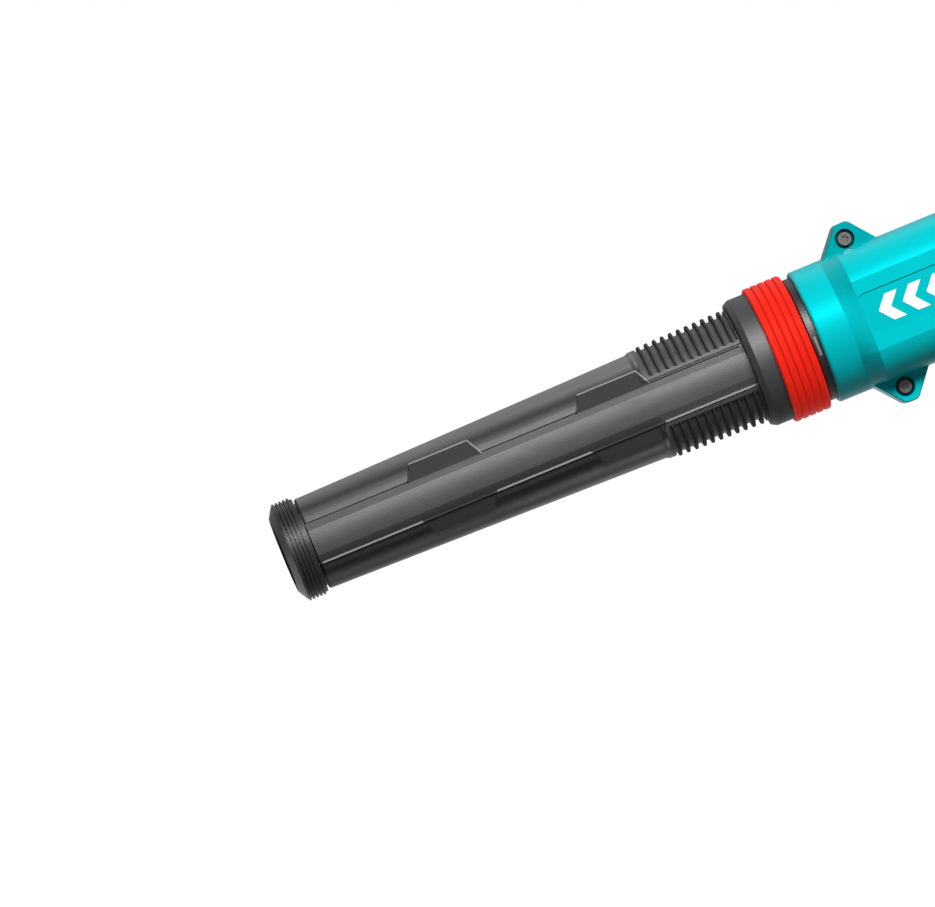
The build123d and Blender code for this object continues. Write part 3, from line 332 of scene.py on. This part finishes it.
@dataclass(frozen=True)
class HousingPlastic(Plastic):
    """The housing's shell: joint line, ruled label field, painted shade on the upper ear and painted shadow
    in the screw recesses.
    """

    seam: float = 0.35 * MM
    label_centre: Point = (0.0, 0.0, 0.0)
    label_half: Span = (30.0 * MM, 12.0 * MM)
    rules_per_metre: float = 900.0
    rule_lean: float = 0.35
    # ear_x, ear_root and ear_half place the painted shade on the upper ear; screw_off, recess_face and
    # recess_r place the painted shadow in the screw recesses
    ear_x: float = 0.0
    ear_root: Span = (36.5 * MM, 39.0 * MM)
    ear_half: float = 22.0 * MM
    screw_off: float = 43.9 * MM
    recess_face: float = 11.9 * MM
    recess_r: float = 5.5 * MM

    def label(self, recipe: Recipe) -> tuple[Wire, Wire]:
        """The label field's mask, and the fine lines that rule it."""
        along = (recipe.axis("X") - self.label_centre[0]).size()
        across = (recipe.axis("Z") - self.label_centre[2]).size()
        out = recipe.axis("Y").size() > self.label_centre[1]
        inside = (along < self.label_half[0]) * (across < self.label_half[1]) * out
        lean = recipe.axis("X") + recipe.axis("Z") * self.rule_lean
        return inside, (lean * self.rules_per_metre).part().smooth(0.35, 0.65)

    def ears(self, recipe: Recipe, colour: Wire) -> Wire:
        """Paints shade on the upper ear and paints black shadow into the recess round each ear's screw."""
        up = recipe.axis("Z") - self.label_centre[2]
        along = recipe.axis("X") - self.ear_x
        screw_off = up.size() - self.screw_off
        # painted shade darkens the upper ear; painted shadow blackens the recess round each screw
        ear_shade = up.smooth(*self.ear_root) * (along.size() < self.ear_half)
        near = (screw_off * screw_off + along * along).root() < self.recess_r
        recess_shadow = near * (recipe.axis("Y").size() < self.recess_face)
        shaded = recipe.mix(ear_shade, colour, self.tone(0.58))
        return recipe.mix(recess_shadow, shaded, self.tone(0.04))

    def finish(self, recipe: Recipe) -> None:
        """Adds the joint line, the label field and the ears' painted shade and recess shadow to the shell's
        grain.
        """
        colour, rough, height = self.shade(recipe)
        off_seam = recipe.axis("Y").size().smooth(self.seam * 0.4, self.seam)
        inside, rule = self.label(recipe)
        colour = recipe.mix(off_seam, self.tone(0.25), colour)
        colour = recipe.mix(inside * (0.35 + rule * 0.25), colour, self.tone(0.80))
        recipe.feed("Base Color", self.ears(recipe, colour))
        recipe.feed("Roughness", rough + inside * 0.08)
        recipe.bump(height * 0.08 + off_seam * 0.9 + inside * rule * 0.05, 0.26 * MM)


@dataclass(frozen=True)
class RidgedPlastic(Plastic):
    """A ring whose grooves lie lower than its ridges and carry painted shade."""

    axis_z: float = 0.064
    floor_r: float = 0.038
    crest_r: float = 0.039

    def finish(self, recipe: Recipe) -> None:
        """Paints shade into the grooves and rubs the crests smoother."""
        colour, rough, height = self.shade(recipe)
        up = recipe.axis("Z") - self.axis_z
        radius = (recipe.axis("Y") ** 2.0 + up * up).root()
        crest = radius.smooth(self.floor_r, self.crest_r)
        # painted shade: the grooves take a darker tone than the crests
        recipe.feed("Base Color", recipe.mix(crest, self.tone(0.55), colour))
        recipe.feed("Roughness", rough + (1.0 - crest) * 0.15)
        recipe.bump(height, self.relief())


@dataclass
class TubeLayout:
    """Where the tube's features lie: distances in metres, and masks from 0 to 1."""

    x: Wire
    off: Wire
    upper: Wire
    lower: Wire
    in_pad: Wire
    pad_face: Wire
    # rim_highlight and rim_shade: the pads' rims split into painted highlight and painted shade
    rim_highlight: Wire
    rim_shade: Wire


@dataclass(frozen=True)
class TubePlastic(Plastic):
    """The nozzle's plastic: bumped flutes with painted shade and painted highlight stripes, matt darker pads
    with painted highlight and painted shade on their rims, painted shade between the fins and on the band's
    upper strip, and a painted highlight on the rib.
    """

    axis_z: float = 64.0 * MM
    band_half: float = 10.9 * MM
    face_half: float = 7.2 * MM
    pad_middles: Span = (-243.65 * MM, -143.75 * MM)
    pad_base: float = 44.8 * MM
    pad_top: float = 35.0 * MM
    pad_reach: float = 20.8 * MM
    pad_rim: float = 0.8 * MM
    rib_edge: Span = (0.35 * MM, 1.4 * MM)
    fin_first: float = -119.05 * MM
    fin_pitch: float = 4.83 * MM
    fin_inner: float = 14.6 * MM
    fin_edge: Span = (0.20, 0.62)
    flute_rise: Span = (15.0 * MM, 21.5 * MM)
    flute_fall: Span = (21.5 * MM, 28.0 * MM)
    flute_depth: float = 2.4 * MM
    # these spans place the painted shade (valley, dusk) and the painted highlight (crest, beside_band)
    # stripes
    valley_rise: Span = (16.5 * MM, 19.0 * MM)
    valley_fall: Span = (19.5 * MM, 22.5 * MM)
    dusk_rise: Span = (4.0 * MM, 10.5 * MM)
    dusk_fall: Span = (16.5 * MM, 21.5 * MM)
    upper_crest: Span = (21.0 * MM, 25.0 * MM)
    lower_crest: Span = (18.5 * MM, 24.5 * MM)
    beside_band: Span = (13.5 * MM, 18.0 * MM)

    def pad_margin(self, recipe: Recipe, middle: float, off: Wire) -> Wire:
        """How far inside a pad's trapezoid a point lies, in metres.

        Args:
            recipe: the material being made.
            middle: the pad's middle along the tube.
            off: height above or below the band's middle.
        Returns:
            The distance, negative outside.
        """
        lean = (self.pad_base - self.pad_top) / 2 / (self.pad_reach - self.band_half)
        along = (recipe.axis("X") - middle).size()
        side = (self.pad_base / 2 - (off - self.band_half) * lean - along) * math.cos(math.atan(lean))
        return side.least(self.pad_reach - off)

    def lay_out(self, recipe: Recipe) -> TubeLayout:
        """Finds the tube's halves and its pads, with their faces and rims; the rims are split into painted
        highlight and painted shade.
        """
        x = recipe.axis("X")
        up = recipe.axis("Z") - self.axis_z
        off = up.size()
        upper = up > 0.0
        beside = off > self.band_half
        in_pad = face = behind = 0.0
        for middle in self.pad_middles:
            margin = self.pad_margin(recipe, middle, off)
            here = (margin > 0.0) * beside
            in_pad = here + in_pad
            face = (margin > self.pad_rim) * beside + face
            behind = (x > middle) * here + behind
        rim = in_pad - face
        outer = off > self.pad_reach - self.pad_rim - 0.1 * MM
        # painted highlight on the upper pads' far and top rims; the rest of the rims take painted shade
        bright = rim * upper * (behind + outer).smooth(0.0, 0.5)
        return TubeLayout(x, off, upper, 1.0 - upper, in_pad, face, bright, rim - bright)

    def fins(self, at: TubeLayout) -> Wire:
        """The painted shade in the gaps between the fins."""
        comb = (at.x > self.fin_first - self.fin_pitch * 0.6) * (at.x < 0.0) * (at.off > self.fin_inner)
        phase = ((at.x - self.fin_first) / self.fin_pitch + 0.5).part()
        return comb * (1.0 - ((phase - 0.5).size() * 2.0).smooth(*self.fin_edge))

    def stripes(self, at: TubeLayout) -> tuple[Wire, Wire]:
        """The painted shade and the painted highlight stripes along the open tube, where the flutes run."""
        open_tube = (1.0 - at.in_pad) * (at.x < self.fin_first - self.fin_pitch)
        # painted shade in the upper flute valley and under the band; painted highlight towards the lower
        # edge, on the upper crest and beside the band
        valley_shade = at.upper * at.off.hump(self.valley_rise, self.valley_fall)
        under_band_shade = at.lower * at.off.hump(self.dusk_rise, self.dusk_fall)
        beside = (at.off > self.band_half) * (1.0 - at.off.smooth(*self.beside_band))
        light = at.lower * at.off.smooth(*self.lower_crest) \
            + at.upper * at.off.smooth(*self.upper_crest) * 0.45 + at.upper * beside * 0.35
        return (valley_shade + under_band_shade).least(1.0) * open_tube, light * open_tube

    def finish(self, recipe: Recipe) -> None:
        """Builds the tube's pattern on top of the plain plastic: mostly painted shade and painted highlight,
        with darker matt pads.
        """
        colour, rough, height = self.shade(recipe)
        at = self.lay_out(recipe)
        fin_gap_shade = self.fins(at)
        stripe_shade, light = self.stripes(at)
        # painted shade on the band's upper strip, and a painted highlight on the rib just below the band
        band_strip_shade = at.upper * (at.off > self.face_half) * (at.off < self.band_half)
        beyond = at.off - self.band_half
        rib_highlight = at.lower * (beyond > self.rib_edge[0]) * (beyond < self.rib_edge[1]) * (1.0 - at.in_pad)
        # the layers: painted shade and painted highlight stripes, painted shade on the band's upper strip,
        # the darker pad faces, painted shade and painted highlight on the pad rims and the rib, painted
        # shade between the fins
        layers = (
            (stripe_shade * 0.9, 0.10),
            (light, 3.6),
            (band_strip_shade, 0.55),
            (at.pad_face, 0.16),
            (at.rim_shade, 0.10),
            ((at.rim_highlight + rib_highlight).least(1.0), 4.4),
            (fin_gap_shade, 0.10),
        )
        for mask, factor in layers:
            colour = recipe.mix(mask, colour, self.tone(factor))
        recipe.feed("Base Color", colour)
        recipe.feed("Roughness", rough + at.pad_face * 0.40 + band_strip_shade * 0.12 + fin_gap_shade * 0.3 + stripe_shade * 0.3)
        flute = at.off.hump(self.flute_rise, self.flute_fall) * (1.0 - at.in_pad) \
            * (at.x < self.fin_first - self.fin_pitch)
        recipe.bump(height * 0.025 - flute, self.flute_depth)


@dataclass(frozen=True)
class GripRubber(Plastic):
    """Soft moulded rubber with rows of small raised lozenges."""

    pitch: float = 0.0042

    def finish(self, recipe: Recipe) -> None:
        """Raises the lozenges and greys their worn tops."""
        colour, rough, height = self.shade(recipe)
        turn = math.pi / self.pitch
        u = (recipe.axis("X") + recipe.axis("Z") * 0.6) * turn
        v = (recipe.axis("X") - recipe.axis("Z") * 0.6) * turn
        lozenge = (u.wave().size() * v.wave().size()).smooth(0.25, 0.6)
        top = tuple(c * 1.5 + 0.006 for c in self.colour)
        recipe.feed("Base Color", recipe.mix(lozenge * 0.6, colour, top))
        recipe.feed("Roughness", rough)
        recipe.bump(lozenge * 0.93 + height * 0.07, 4.5e-4)


@dataclass(frozen=True)
class Metal:
    """A bare or coated metal with turning marks or a blasted surface."""

    name: str
    colour: Colour
    roughness: float
    grain: Grain = Grain.TURNED

    def material(self) -> bpy.types.Material:
        """The finished material."""
        recipe = Recipe(self.name)
        recipe.feed("Metallic", 1.0)
        if self.grain is Grain.TURNED:
            marks = recipe.noise(900.0, 2.0, recipe.scaled(6.0, 1.0, 1.0))
        else:
            marks = recipe.cells(1400.0)
        broad = recipe.noise(60.0, 3.0)
        low = tuple(c * 0.78 for c in self.colour)
        high = tuple(min(1.0, c * 1.12) for c in self.colour)
        recipe.feed("Base Color", recipe.mix(broad * 0.6 + marks * 0.4, low, high))
        recipe.feed("Roughness", self.roughness + (marks - 0.5) * 0.14 + (broad - 0.5) * 0.10)
        recipe.bump(marks, 2.0e-5)
        return recipe.material


@dataclass(frozen=True)
class Board(Plastic):
    """A circuit board's solder mask with faint tracks under it."""

    def finish(self, recipe: Recipe) -> None:
        """Draws the tracks."""
        colour, rough, height = self.shade(recipe)
        tracks = (recipe.cells(260.0, "DISTANCE_TO_EDGE") < 0.06) * (recipe.noise(90.0) > 0.45)
        light = tuple(min(1.0, c * 1.9 + 0.01) for c in self.colour)
        recipe.feed("Base Color", recipe.mix(tracks, colour, light))
        recipe.feed("Roughness", rough)
        recipe.bump(tracks * 0.5 + height * 0.1, 4e-5)


class Palette:
    """Every finish of the machine, made once and shared."""

    def __init__(self, label_centre: Point, label_half: Span, ear_x: float) -> None:
        """Makes the materials.

        Args:
            label_centre: middle of the label field, with y as the depth beyond which it lies.
            label_half: half its length and height.
            ear_x: where the ears' screws stand.
        """
        finishes = {
            "tube_grey": TubePlastic("tube_grey", (0.048, 0.048, 0.049), 0.50, Grain.SPARK, 0.10,
                                     specular=1.0),
            "black_plastic": Plastic("black_plastic", (0.012, 0.012, 0.013), 0.44, Grain.SPARK, 0.16,
                                     specular=0.9),
            "collar_grey": Plastic("collar_grey", (0.024, 0.025, 0.028), 0.53, Grain.SATIN, 0.08,
                                   specular=1.0),
            # the red ring's glow is painted light: emission that keeps it evenly bright, though it is no
            # lamp
            "red_plastic": RidgedPlastic("red_plastic", (0.52, 0.012, 0.006), 0.50, Grain.GLOSS, 0.05,
                                         specular=0.4, tint=(1.0, 0.10, 0.06), painted_glow=0.30,
                                         floor_r=38.6 * MM, crest_r=39.1 * MM),
            "button_red": Plastic("button_red", (0.88, 0.020, 0.010), 0.38, Grain.GLOSS, 0.05, coat=0.1),
            "teal_plastic": HousingPlastic("teal_plastic", (0.0, 0.43, 0.465), 0.42, Grain.SATIN, 0.05,
                                           specular=0.9, tint=(0.0, 0.88, 1.0),
                                           label_centre=label_centre, label_half=label_half, ear_x=ear_x),
            "soft_grip": GripRubber("soft_grip", (0.016, 0.016, 0.017), 0.72, Grain.SATIN, 0.15),
            "rubber": Plastic("rubber", (0.014, 0.014, 0.014), 0.78, Grain.SPARK, 0.2),
            "steel": Metal("steel", (0.60, 0.60, 0.61), 0.32),
            "dark_steel": Metal("dark_steel", (0.26, 0.25, 0.24), 0.36),
            "duct_plastic": Plastic("duct_plastic", (0.022, 0.022, 0.024), 0.55, Grain.SPARK, 0.2),
            "copper": Metal("copper", (0.72, 0.33, 0.16), 0.35),
            "magnet": Metal("magnet", (0.20, 0.20, 0.21), 0.45, Grain.BEAD),
            "circuit_green": Board("circuit_green", (0.01, 0.13, 0.05), 0.35),
            "aluminium": Metal("aluminium", (0.72, 0.72, 0.74), 0.40, Grain.BEAD),
            "cell_wrap": Plastic("cell_wrap", (0.03, 0.20, 0.50), 0.25, Grain.GLOSS, 0.05),
            "wire_red": Plastic("wire_red", (0.55, 0.02, 0.015), 0.45, Grain.SATIN, 0.08),
            "wire_black": Plastic("wire_black", (0.015, 0.015, 0.015), 0.45, Grain.SATIN, 0.15),
            "contact_metal": Metal("contact_metal", (0.78, 0.62, 0.34), 0.28),
            "print_white": Plastic("print_white", (0.97, 0.98, 0.98), 0.48, Grain.SATIN, 0.01),
            "latch_grey": Plastic("latch_grey", (0.20, 0.20, 0.21), 0.35, Grain.SATIN, 0.06),
            "lamp_green": Plastic("lamp_green", (0.10, 0.62, 0.16), 0.22, Grain.GLOSS, 0.04),
        }
        self.materials = {key: finish.material() for key, finish in finishes.items()}

    def dress(self, piece: bpy.types.Object, finish: str) -> None:
        """Puts one finish on every slot of a piece."""
        material = self.materials[finish]
        if not piece.material_slots:
            piece.data.materials.append(material)
        for held in piece.material_slots:
            held.material = material


# ------------------------------------------------------------------ modelling helpers
def pick(piece: bpy.types.Object, chosen: Callable[[Vector], bool]) -> int:
    """Selects the vertices of a piece by their place, in edit mode.

    Args:
        piece: the object in edit mode.
        chosen: says whether a vertex at that place is selected.
    Returns:
        How many were selected.
    """
    bpy.ops.mesh.select_mode(type="VERT")
    bpy.ops.mesh.select_all(action="DESELECT")
    bpy.ops.object.mode_set(mode="OBJECT")
    count = 0
    for vertex in piece.data.vertices:
        vertex.select = chosen(piece.matrix_world @ vertex.co)
        count += vertex.select
    bpy.ops.object.mode_set(mode="EDIT")
    return count


def start(name: str, primitive: Callable[..., set], **kwargs: object) -> bpy.types.Object:
    """Adds a primitive with nothing else selected.

    Args:
        name: the piece's name.
        primitive: the operator that adds it.
        kwargs: the operator's arguments.
    Returns:
        The new object.
    """
    bpy.ops.object.select_all(action="DESELECT")
    primitive(**kwargs)
    piece = bpy.context.object
    piece.name = name
    piece.data.name = name
    return piece


def settle(piece: bpy.types.Object) -> None:
    """Applies a piece's place, turn and size to its mesh and points its faces outwards."""
    bpy.ops.object.select_all(action="DESELECT")
    piece.select_set(True)
    bpy.context.view_layer.objects.active = piece
    bpy.ops.object.transform_apply(location=True, rotation=True, scale=True)
    bpy.ops.object.mode_set(mode="EDIT")
    bpy.ops.mesh.select_all(action="SELECT")
    bpy.ops.mesh.remove_doubles(threshold=1e-6)
    bpy.ops.mesh.normals_make_consistent(inside=False)
    bpy.ops.object.mode_set(mode="OBJECT")
    bpy.ops.object.shade_smooth_by_angle(angle=math.radians(35))


def slanted_bar(name: str, low: Point, high: Point, slant: float, bevel: float) -> bpy.types.Object:
    """A thin bar that leans along X, with its rim rounded.

    Args:
        name: the piece's name.
        low: its lowest corner before it leans.
        high: its highest corner before it leans.
        slant: how far its top is moved along X.
        bevel: the width of the rounding.
    Returns:
        The bar.
    """
    middle = [(a + b) / 2 for a, b in zip(low, high)]
    piece = start(name, bpy.ops.mesh.primitive_cube_add, size=1.0, location=middle)
    piece.scale = [abs(b - a) for a, b in zip(low, high)]
    bpy.ops.object.transform_apply(location=True, rotation=True, scale=True)
    bpy.ops.object.mode_set(mode="EDIT")
    pick(piece, lambda at: at.z > middle[2])
    bpy.ops.transform.translate(value=(slant, 0, 0))
    bpy.ops.mesh.select_all(action="SELECT")
    bpy.ops.mesh.bevel(offset=bevel, segments=2, affect="EDGES")
    bpy.ops.object.mode_set(mode="OBJECT")
    settle(piece)
    return piece


def copied(piece: bpy.types.Object, name: str, shift: Point) -> bpy.types.Object:
    """A copy with its own mesh, moved by shift."""
    twin = piece.copy()
    twin.data = piece.data.copy()
    twin.name = name
    twin.data.name = name
    bpy.context.scene.collection.objects.link(twin)
    twin.data.transform(Matrix.Translation(shift))
    return twin


def joined(name: str, pieces: Sequence[bpy.types.Object]) -> bpy.types.Object:
    """Several pieces as one object.

    Args:
        name: the new object's name.
        pieces: the pieces, which become part of the first.
    Returns:
        The joined object.
    """
    bpy.ops.object.select_all(action="DESELECT")
    for piece in pieces:
        piece.select_set(True)
    bpy.context.view_layer.objects.active = pieces[0]
    bpy.ops.object.join()
    pieces[0].name = name
    pieces[0].data.name = name
    return pieces[0]


# ------------------------------------------------------------------ sub-assemblies
@dataclass
class SideBadges:
    """The printed marks in the label field on each side panel: plain arrowheads along the air's way."""

    palette: Palette
    face_y: float
    first_x: float
    centre_z: float
    count: int = 4
    pitch: float = 14.2 * MM
    stroke: float = 7.2 * MM
    reach: float = 6.4 * MM
    height: float = 15.2 * MM
    thickness: float = 0.30 * MM

    def arrowhead(self, name: str, side: float) -> bpy.types.Object:
        """One arrowhead that points towards the nozzle.

        Args:
            name: its name.
            side: -1 for the near side and 1 for the far side.
        Returns:
            The arrowhead, in the first place of the row.
        """
        ends = sorted((side * (self.face_y - 0.05 * MM), side * (self.face_y + self.thickness)))
        x = self.first_x
        piece = start(name, bpy.ops.mesh.primitive_cube_add, size=1.0,
                      location=(x + self.stroke / 2, sum(ends) / 2, self.centre_z))
        piece.scale = (self.stroke, ends[1] - ends[0], self.height)
        bpy.ops.object.transform_apply(location=True, rotation=True, scale=True)
        bpy.ops.object.mode_set(mode="EDIT")
        bpy.ops.mesh.select_all(action="SELECT")
        bpy.ops.mesh.bisect(plane_co=(0, 0, self.centre_z), plane_no=(0, 0, 1))
        edge = self.height / 2 - 0.1 * MM
        pick(piece, lambda at: abs(at.z - self.centre_z) > edge)
        bpy.ops.transform.translate(value=(self.reach, 0, 0))
        bpy.ops.object.mode_set(mode="OBJECT")
        settle(piece)
        return piece

    def build(self) -> None:
        """Makes both sides' rows and fixes them to the housing."""
        for side, name in ((-1.0, "badge_left"), (1.0, "badge_right")):
            first = self.arrowhead(name, side)
            row = [first]
            for i in range(1, self.count):
                row.append(copied(first, f"{name}_{i}", (i * self.pitch, 0, 0)))
            piece = joined(name, row)
            self.palette.dress(piece, "print_white")
            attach(piece, "housing")
            log.info("%s: %d arrowheads", name, self.count)


@dataclass
class ReleaseMark:
    """The small light key on the spigot's flange, seen in the gap behind the sleeve."""

    palette: Palette
    axis_z: float
    flange_r: float
    x0: float
    x1: float
    low: float = -10.5 * MM
    high: float = 0.5 * MM

    def build(self) -> None:
        """Cuts the key from a thin disc and fixes it to the housing."""
        radius = self.flange_r + 0.16 * MM
        piece = start("release_mark", bpy.ops.mesh.primitive_cylinder_add, vertices=160, radius=radius,
                      depth=self.x1 - self.x0, location=((self.x0 + self.x1) / 2, 0, self.axis_z),
                      rotation=(0, math.pi / 2, 0))
        bpy.ops.object.transform_apply(location=True, rotation=True, scale=True)
        bpy.ops.object.mode_set(mode="EDIT")
        cuts = (
            ((0, 0, self.axis_z + self.low), (0, 0, -1)),
            ((0, 0, self.axis_z + self.high), (0, 0, 1)),
            ((0, -(self.flange_r - 2.4 * MM), 0), (0, 1, 0)),
        )
        for place, normal in cuts:
            bpy.ops.mesh.select_all(action="SELECT")
            bpy.ops.mesh.bisect(plane_co=place, plane_no=normal, use_fill=True, clear_outer=True)
        bpy.ops.object.mode_set(mode="OBJECT")
        settle(piece)
        self.palette.dress(piece, "latch_grey")
        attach(piece, "housing")
        log.info("release_mark")


@dataclass
class ChargeLamps:
    """The row of small lamps beside the charge button on the battery's end."""

    palette: Palette
    end_x: float
    first_y: float
    z: float
    count: int = 4
    pitch: float = 5.2 * MM
    size: tuple[float, float] = (3.4 * MM, 1.8 * MM)

    def build(self) -> None:
        """Makes one lamp, copies it along the row and fixes the row to the battery."""
        half_y, half_z = self.size[0] / 2, self.size[1] / 2
        first = slanted_bar("charge_lamp_1", (self.end_x - 0.3 * MM, self.first_y - half_y, self.z - half_z),
                            (self.end_x + 0.35 * MM, self.first_y + half_y, self.z + half_z), 0.0, 0.25 * MM)
        lamps = [first]
        for i in range(1, self.count):
            lamps.append(copied(first, f"charge_lamp_{i + 1}", (0, -i * self.pitch, 0)))
        for lamp in lamps:
            self.palette.dress(lamp, "lamp_green")
            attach(lamp, "battery")
        log.info("charge lamps: %d", len(lamps))


@dataclass(frozen=True)
class AreaLamp:
    """One soft light: its place from the middle of the view, its size in metres and its power in watts."""

    name: str
    place: Point
    long: float
    high: float
    power: float


@dataclass
class Studio:
    """The pale floor, the soft lights and the camera.

    fill and rim are the surround's brightness in front and behind; bounce is the floor's light in front.
    """

    target: Point
    width: float
    yaw: float = math.radians(3.0)
    roll: float = math.radians(22.35)
    bounce: float = 0.06
    distance: float = 6.0
    fill: float = 0.04
    rim: float = 0.45
    lights: tuple[AreaLamp, ...] = (
        AreaLamp("key_light", (0.75, -1.45, 1.0), 1.6, 0.30, 54.0),
        AreaLamp("top_light", (0.1, 0.9, 1.5), 1.8, 0.4, 2.0),
    )

    def floor(self) -> None:
        """A wide grey floor that looks white to the camera and lights the machine mostly from behind."""
        plane = start("studio_floor", bpy.ops.mesh.primitive_plane_add, size=60.0, location=(0, 0, -0.0005))
        settle(plane)
        recipe = Recipe("studio_white")
        recipe.feed("Base Color", (0.10, 0.10, 0.10))
        recipe.feed("Roughness", 0.9)
        recipe.feed("Specular IOR Level", 0.1)
        recipe.feed("Emission Color", (1.0, 1.0, 1.0))
        seen = recipe.node("ShaderNodeLightPath", output="Is Camera Ray")
        behind = recipe.axis("Y").smooth(-0.03, 0.10)
        recipe.feed("Emission Strength", seen + (behind + self.bounce).least(1.0) * (1.0 - seen))
        plane.data.materials.append(recipe.material)

    def sky(self) -> None:
        """A white surround that is brighter behind the machine than in front of it."""
        world = bpy.data.worlds.new("studio_surround")
        world.use_nodes = True
        nodes, links = world.node_tree.nodes, world.node_tree.links
        background = nodes["Background"]
        background.inputs["Color"].default_value = (1.0, 1.0, 1.0, 1.0)
        where = nodes.new("ShaderNodeTexCoord")
        split = nodes.new("ShaderNodeSeparateXYZ")
        behind = nodes.new("ShaderNodeMapRange")
        behind.interpolation_type = "SMOOTHSTEP"
        behind.inputs["From Min"].default_value = -0.25
        behind.inputs["From Max"].default_value = 0.75
        behind.inputs["To Min"].default_value = self.fill
        behind.inputs["To Max"].default_value = self.rim
        seen = nodes.new("ShaderNodeLightPath")
        level = nodes.new("ShaderNodeMath")
        level.operation = "MAXIMUM"
        links.new(where.outputs["Generated"], split.inputs["Vector"])
        links.new(split.outputs["Y"], behind.inputs["Value"])
        links.new(seen.outputs["Is Camera Ray"], level.inputs[0])
        links.new(behind.outputs["Result"], level.inputs[1])
        links.new(level.outputs["Value"], background.inputs["Strength"])
        bpy.context.scene.world = world

    def lamps(self) -> None:
        """The area lights, each aimed at the middle of the machine."""
        for light in self.lights:
            data = bpy.data.lights.new(light.name, "AREA")
            data.shape = "RECTANGLE"
            data.size = light.long
            data.size_y = light.high
            data.energy = light.power
            lamp = bpy.data.objects.new(light.name, data)
            bpy.context.scene.collection.objects.link(lamp)
            at = Vector(light.place) + Vector((self.target[0], 0, 0))
            aim = Vector(self.target) - at
            lamp.matrix_world = Matrix.Translation(at) @ aim.to_track_quat("-Z", "Y").to_matrix().to_4x4()

    def camera(self) -> None:
        """A long lens that looks across the machine, rolled so the nozzle points down to the left."""
        data = bpy.data.cameras.new("studio_camera")
        data.sensor_width = 36.0
        data.lens = 36.0 * self.distance / self.width
        data.clip_end = 100.0
        camera = bpy.data.objects.new("studio_camera", data)
        bpy.context.scene.collection.objects.link(camera)
        look = Vector((math.sin(self.yaw), math.cos(self.yaw), 0.0))
        level = Vector((math.cos(self.yaw), -math.sin(self.yaw), 0.0))
        up = level * math.sin(self.roll) + Vector((0, 0, 1)) * math.cos(self.roll)
        right = level * math.cos(self.roll) - Vector((0, 0, 1)) * math.sin(self.roll)
        at = Vector(self.target) - look * self.distance
        turn = Matrix((right, up, -look)).transposed().to_4x4()
        camera.matrix_world = Matrix.Translation(at) @ turn
        bpy.context.scene.camera = camera

    def build(self) -> None:
        """Sets the whole stage."""
        self.floor()
        self.sky()
        self.lamps()
        self.camera()
        bpy.context.scene.view_settings.view_transform = "Standard"
        log.info("studio")


# ------------------------------------------------------------------ the whole machine
SPECIAL_FINISHES = {
    "spinner_cap": "button_red",
    "switch_plunger": "button_red",
    "turbo_button": "button_red",
    "battery_latch_button": "button_red",
}


def main() -> None:
    """Loads the frame, dresses it, adds the details and sets the stage."""
    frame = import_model()
    left_low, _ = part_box("housing_left")
    ring_low, ring_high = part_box("mouth_ring")
    end_low, end_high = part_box("battery_case_top")
    axis_z = (ring_low[2] + ring_high[2]) / 2
    front_x = left_low[0]
    label_x0 = front_x + 27.8 * MM
    label_x1 = label_x0 + 74.0 * MM
    label_centre = ((label_x0 + label_x1) / 2, 38.7 * MM, axis_z)
    palette = Palette(label_centre, (37.0 * MM, 12.3 * MM), front_x + 36.3 * MM)
    slots = {entry["node"]: entry["material_slot"] for entry in frame["record"]["subparts"]}
    for name, node in frame["nodes"].items():
        palette.dress(node, SPECIAL_FINISHES.get(name, slots[name]))
    log.info("dressed %d nodes", len(frame["nodes"]))
    SideBadges(palette, 39.2 * MM, label_x0 + 8.2 * MM, axis_z).build()
    ReleaseMark(palette, axis_z, 35.7 * MM, front_x - 2.6 * MM, front_x - 1.2 * MM).build()
    ChargeLamps(palette, end_high[0], 4.0 * MM, end_low[2] + 5.0 * MM).build()
    centre = (ring_low[0] + 114.9 * MM, 0.0, axis_z + 13.5 * MM)
    Studio(centre, VIEW_WIDTH).build()


if __name__ == "__main__":
    main()
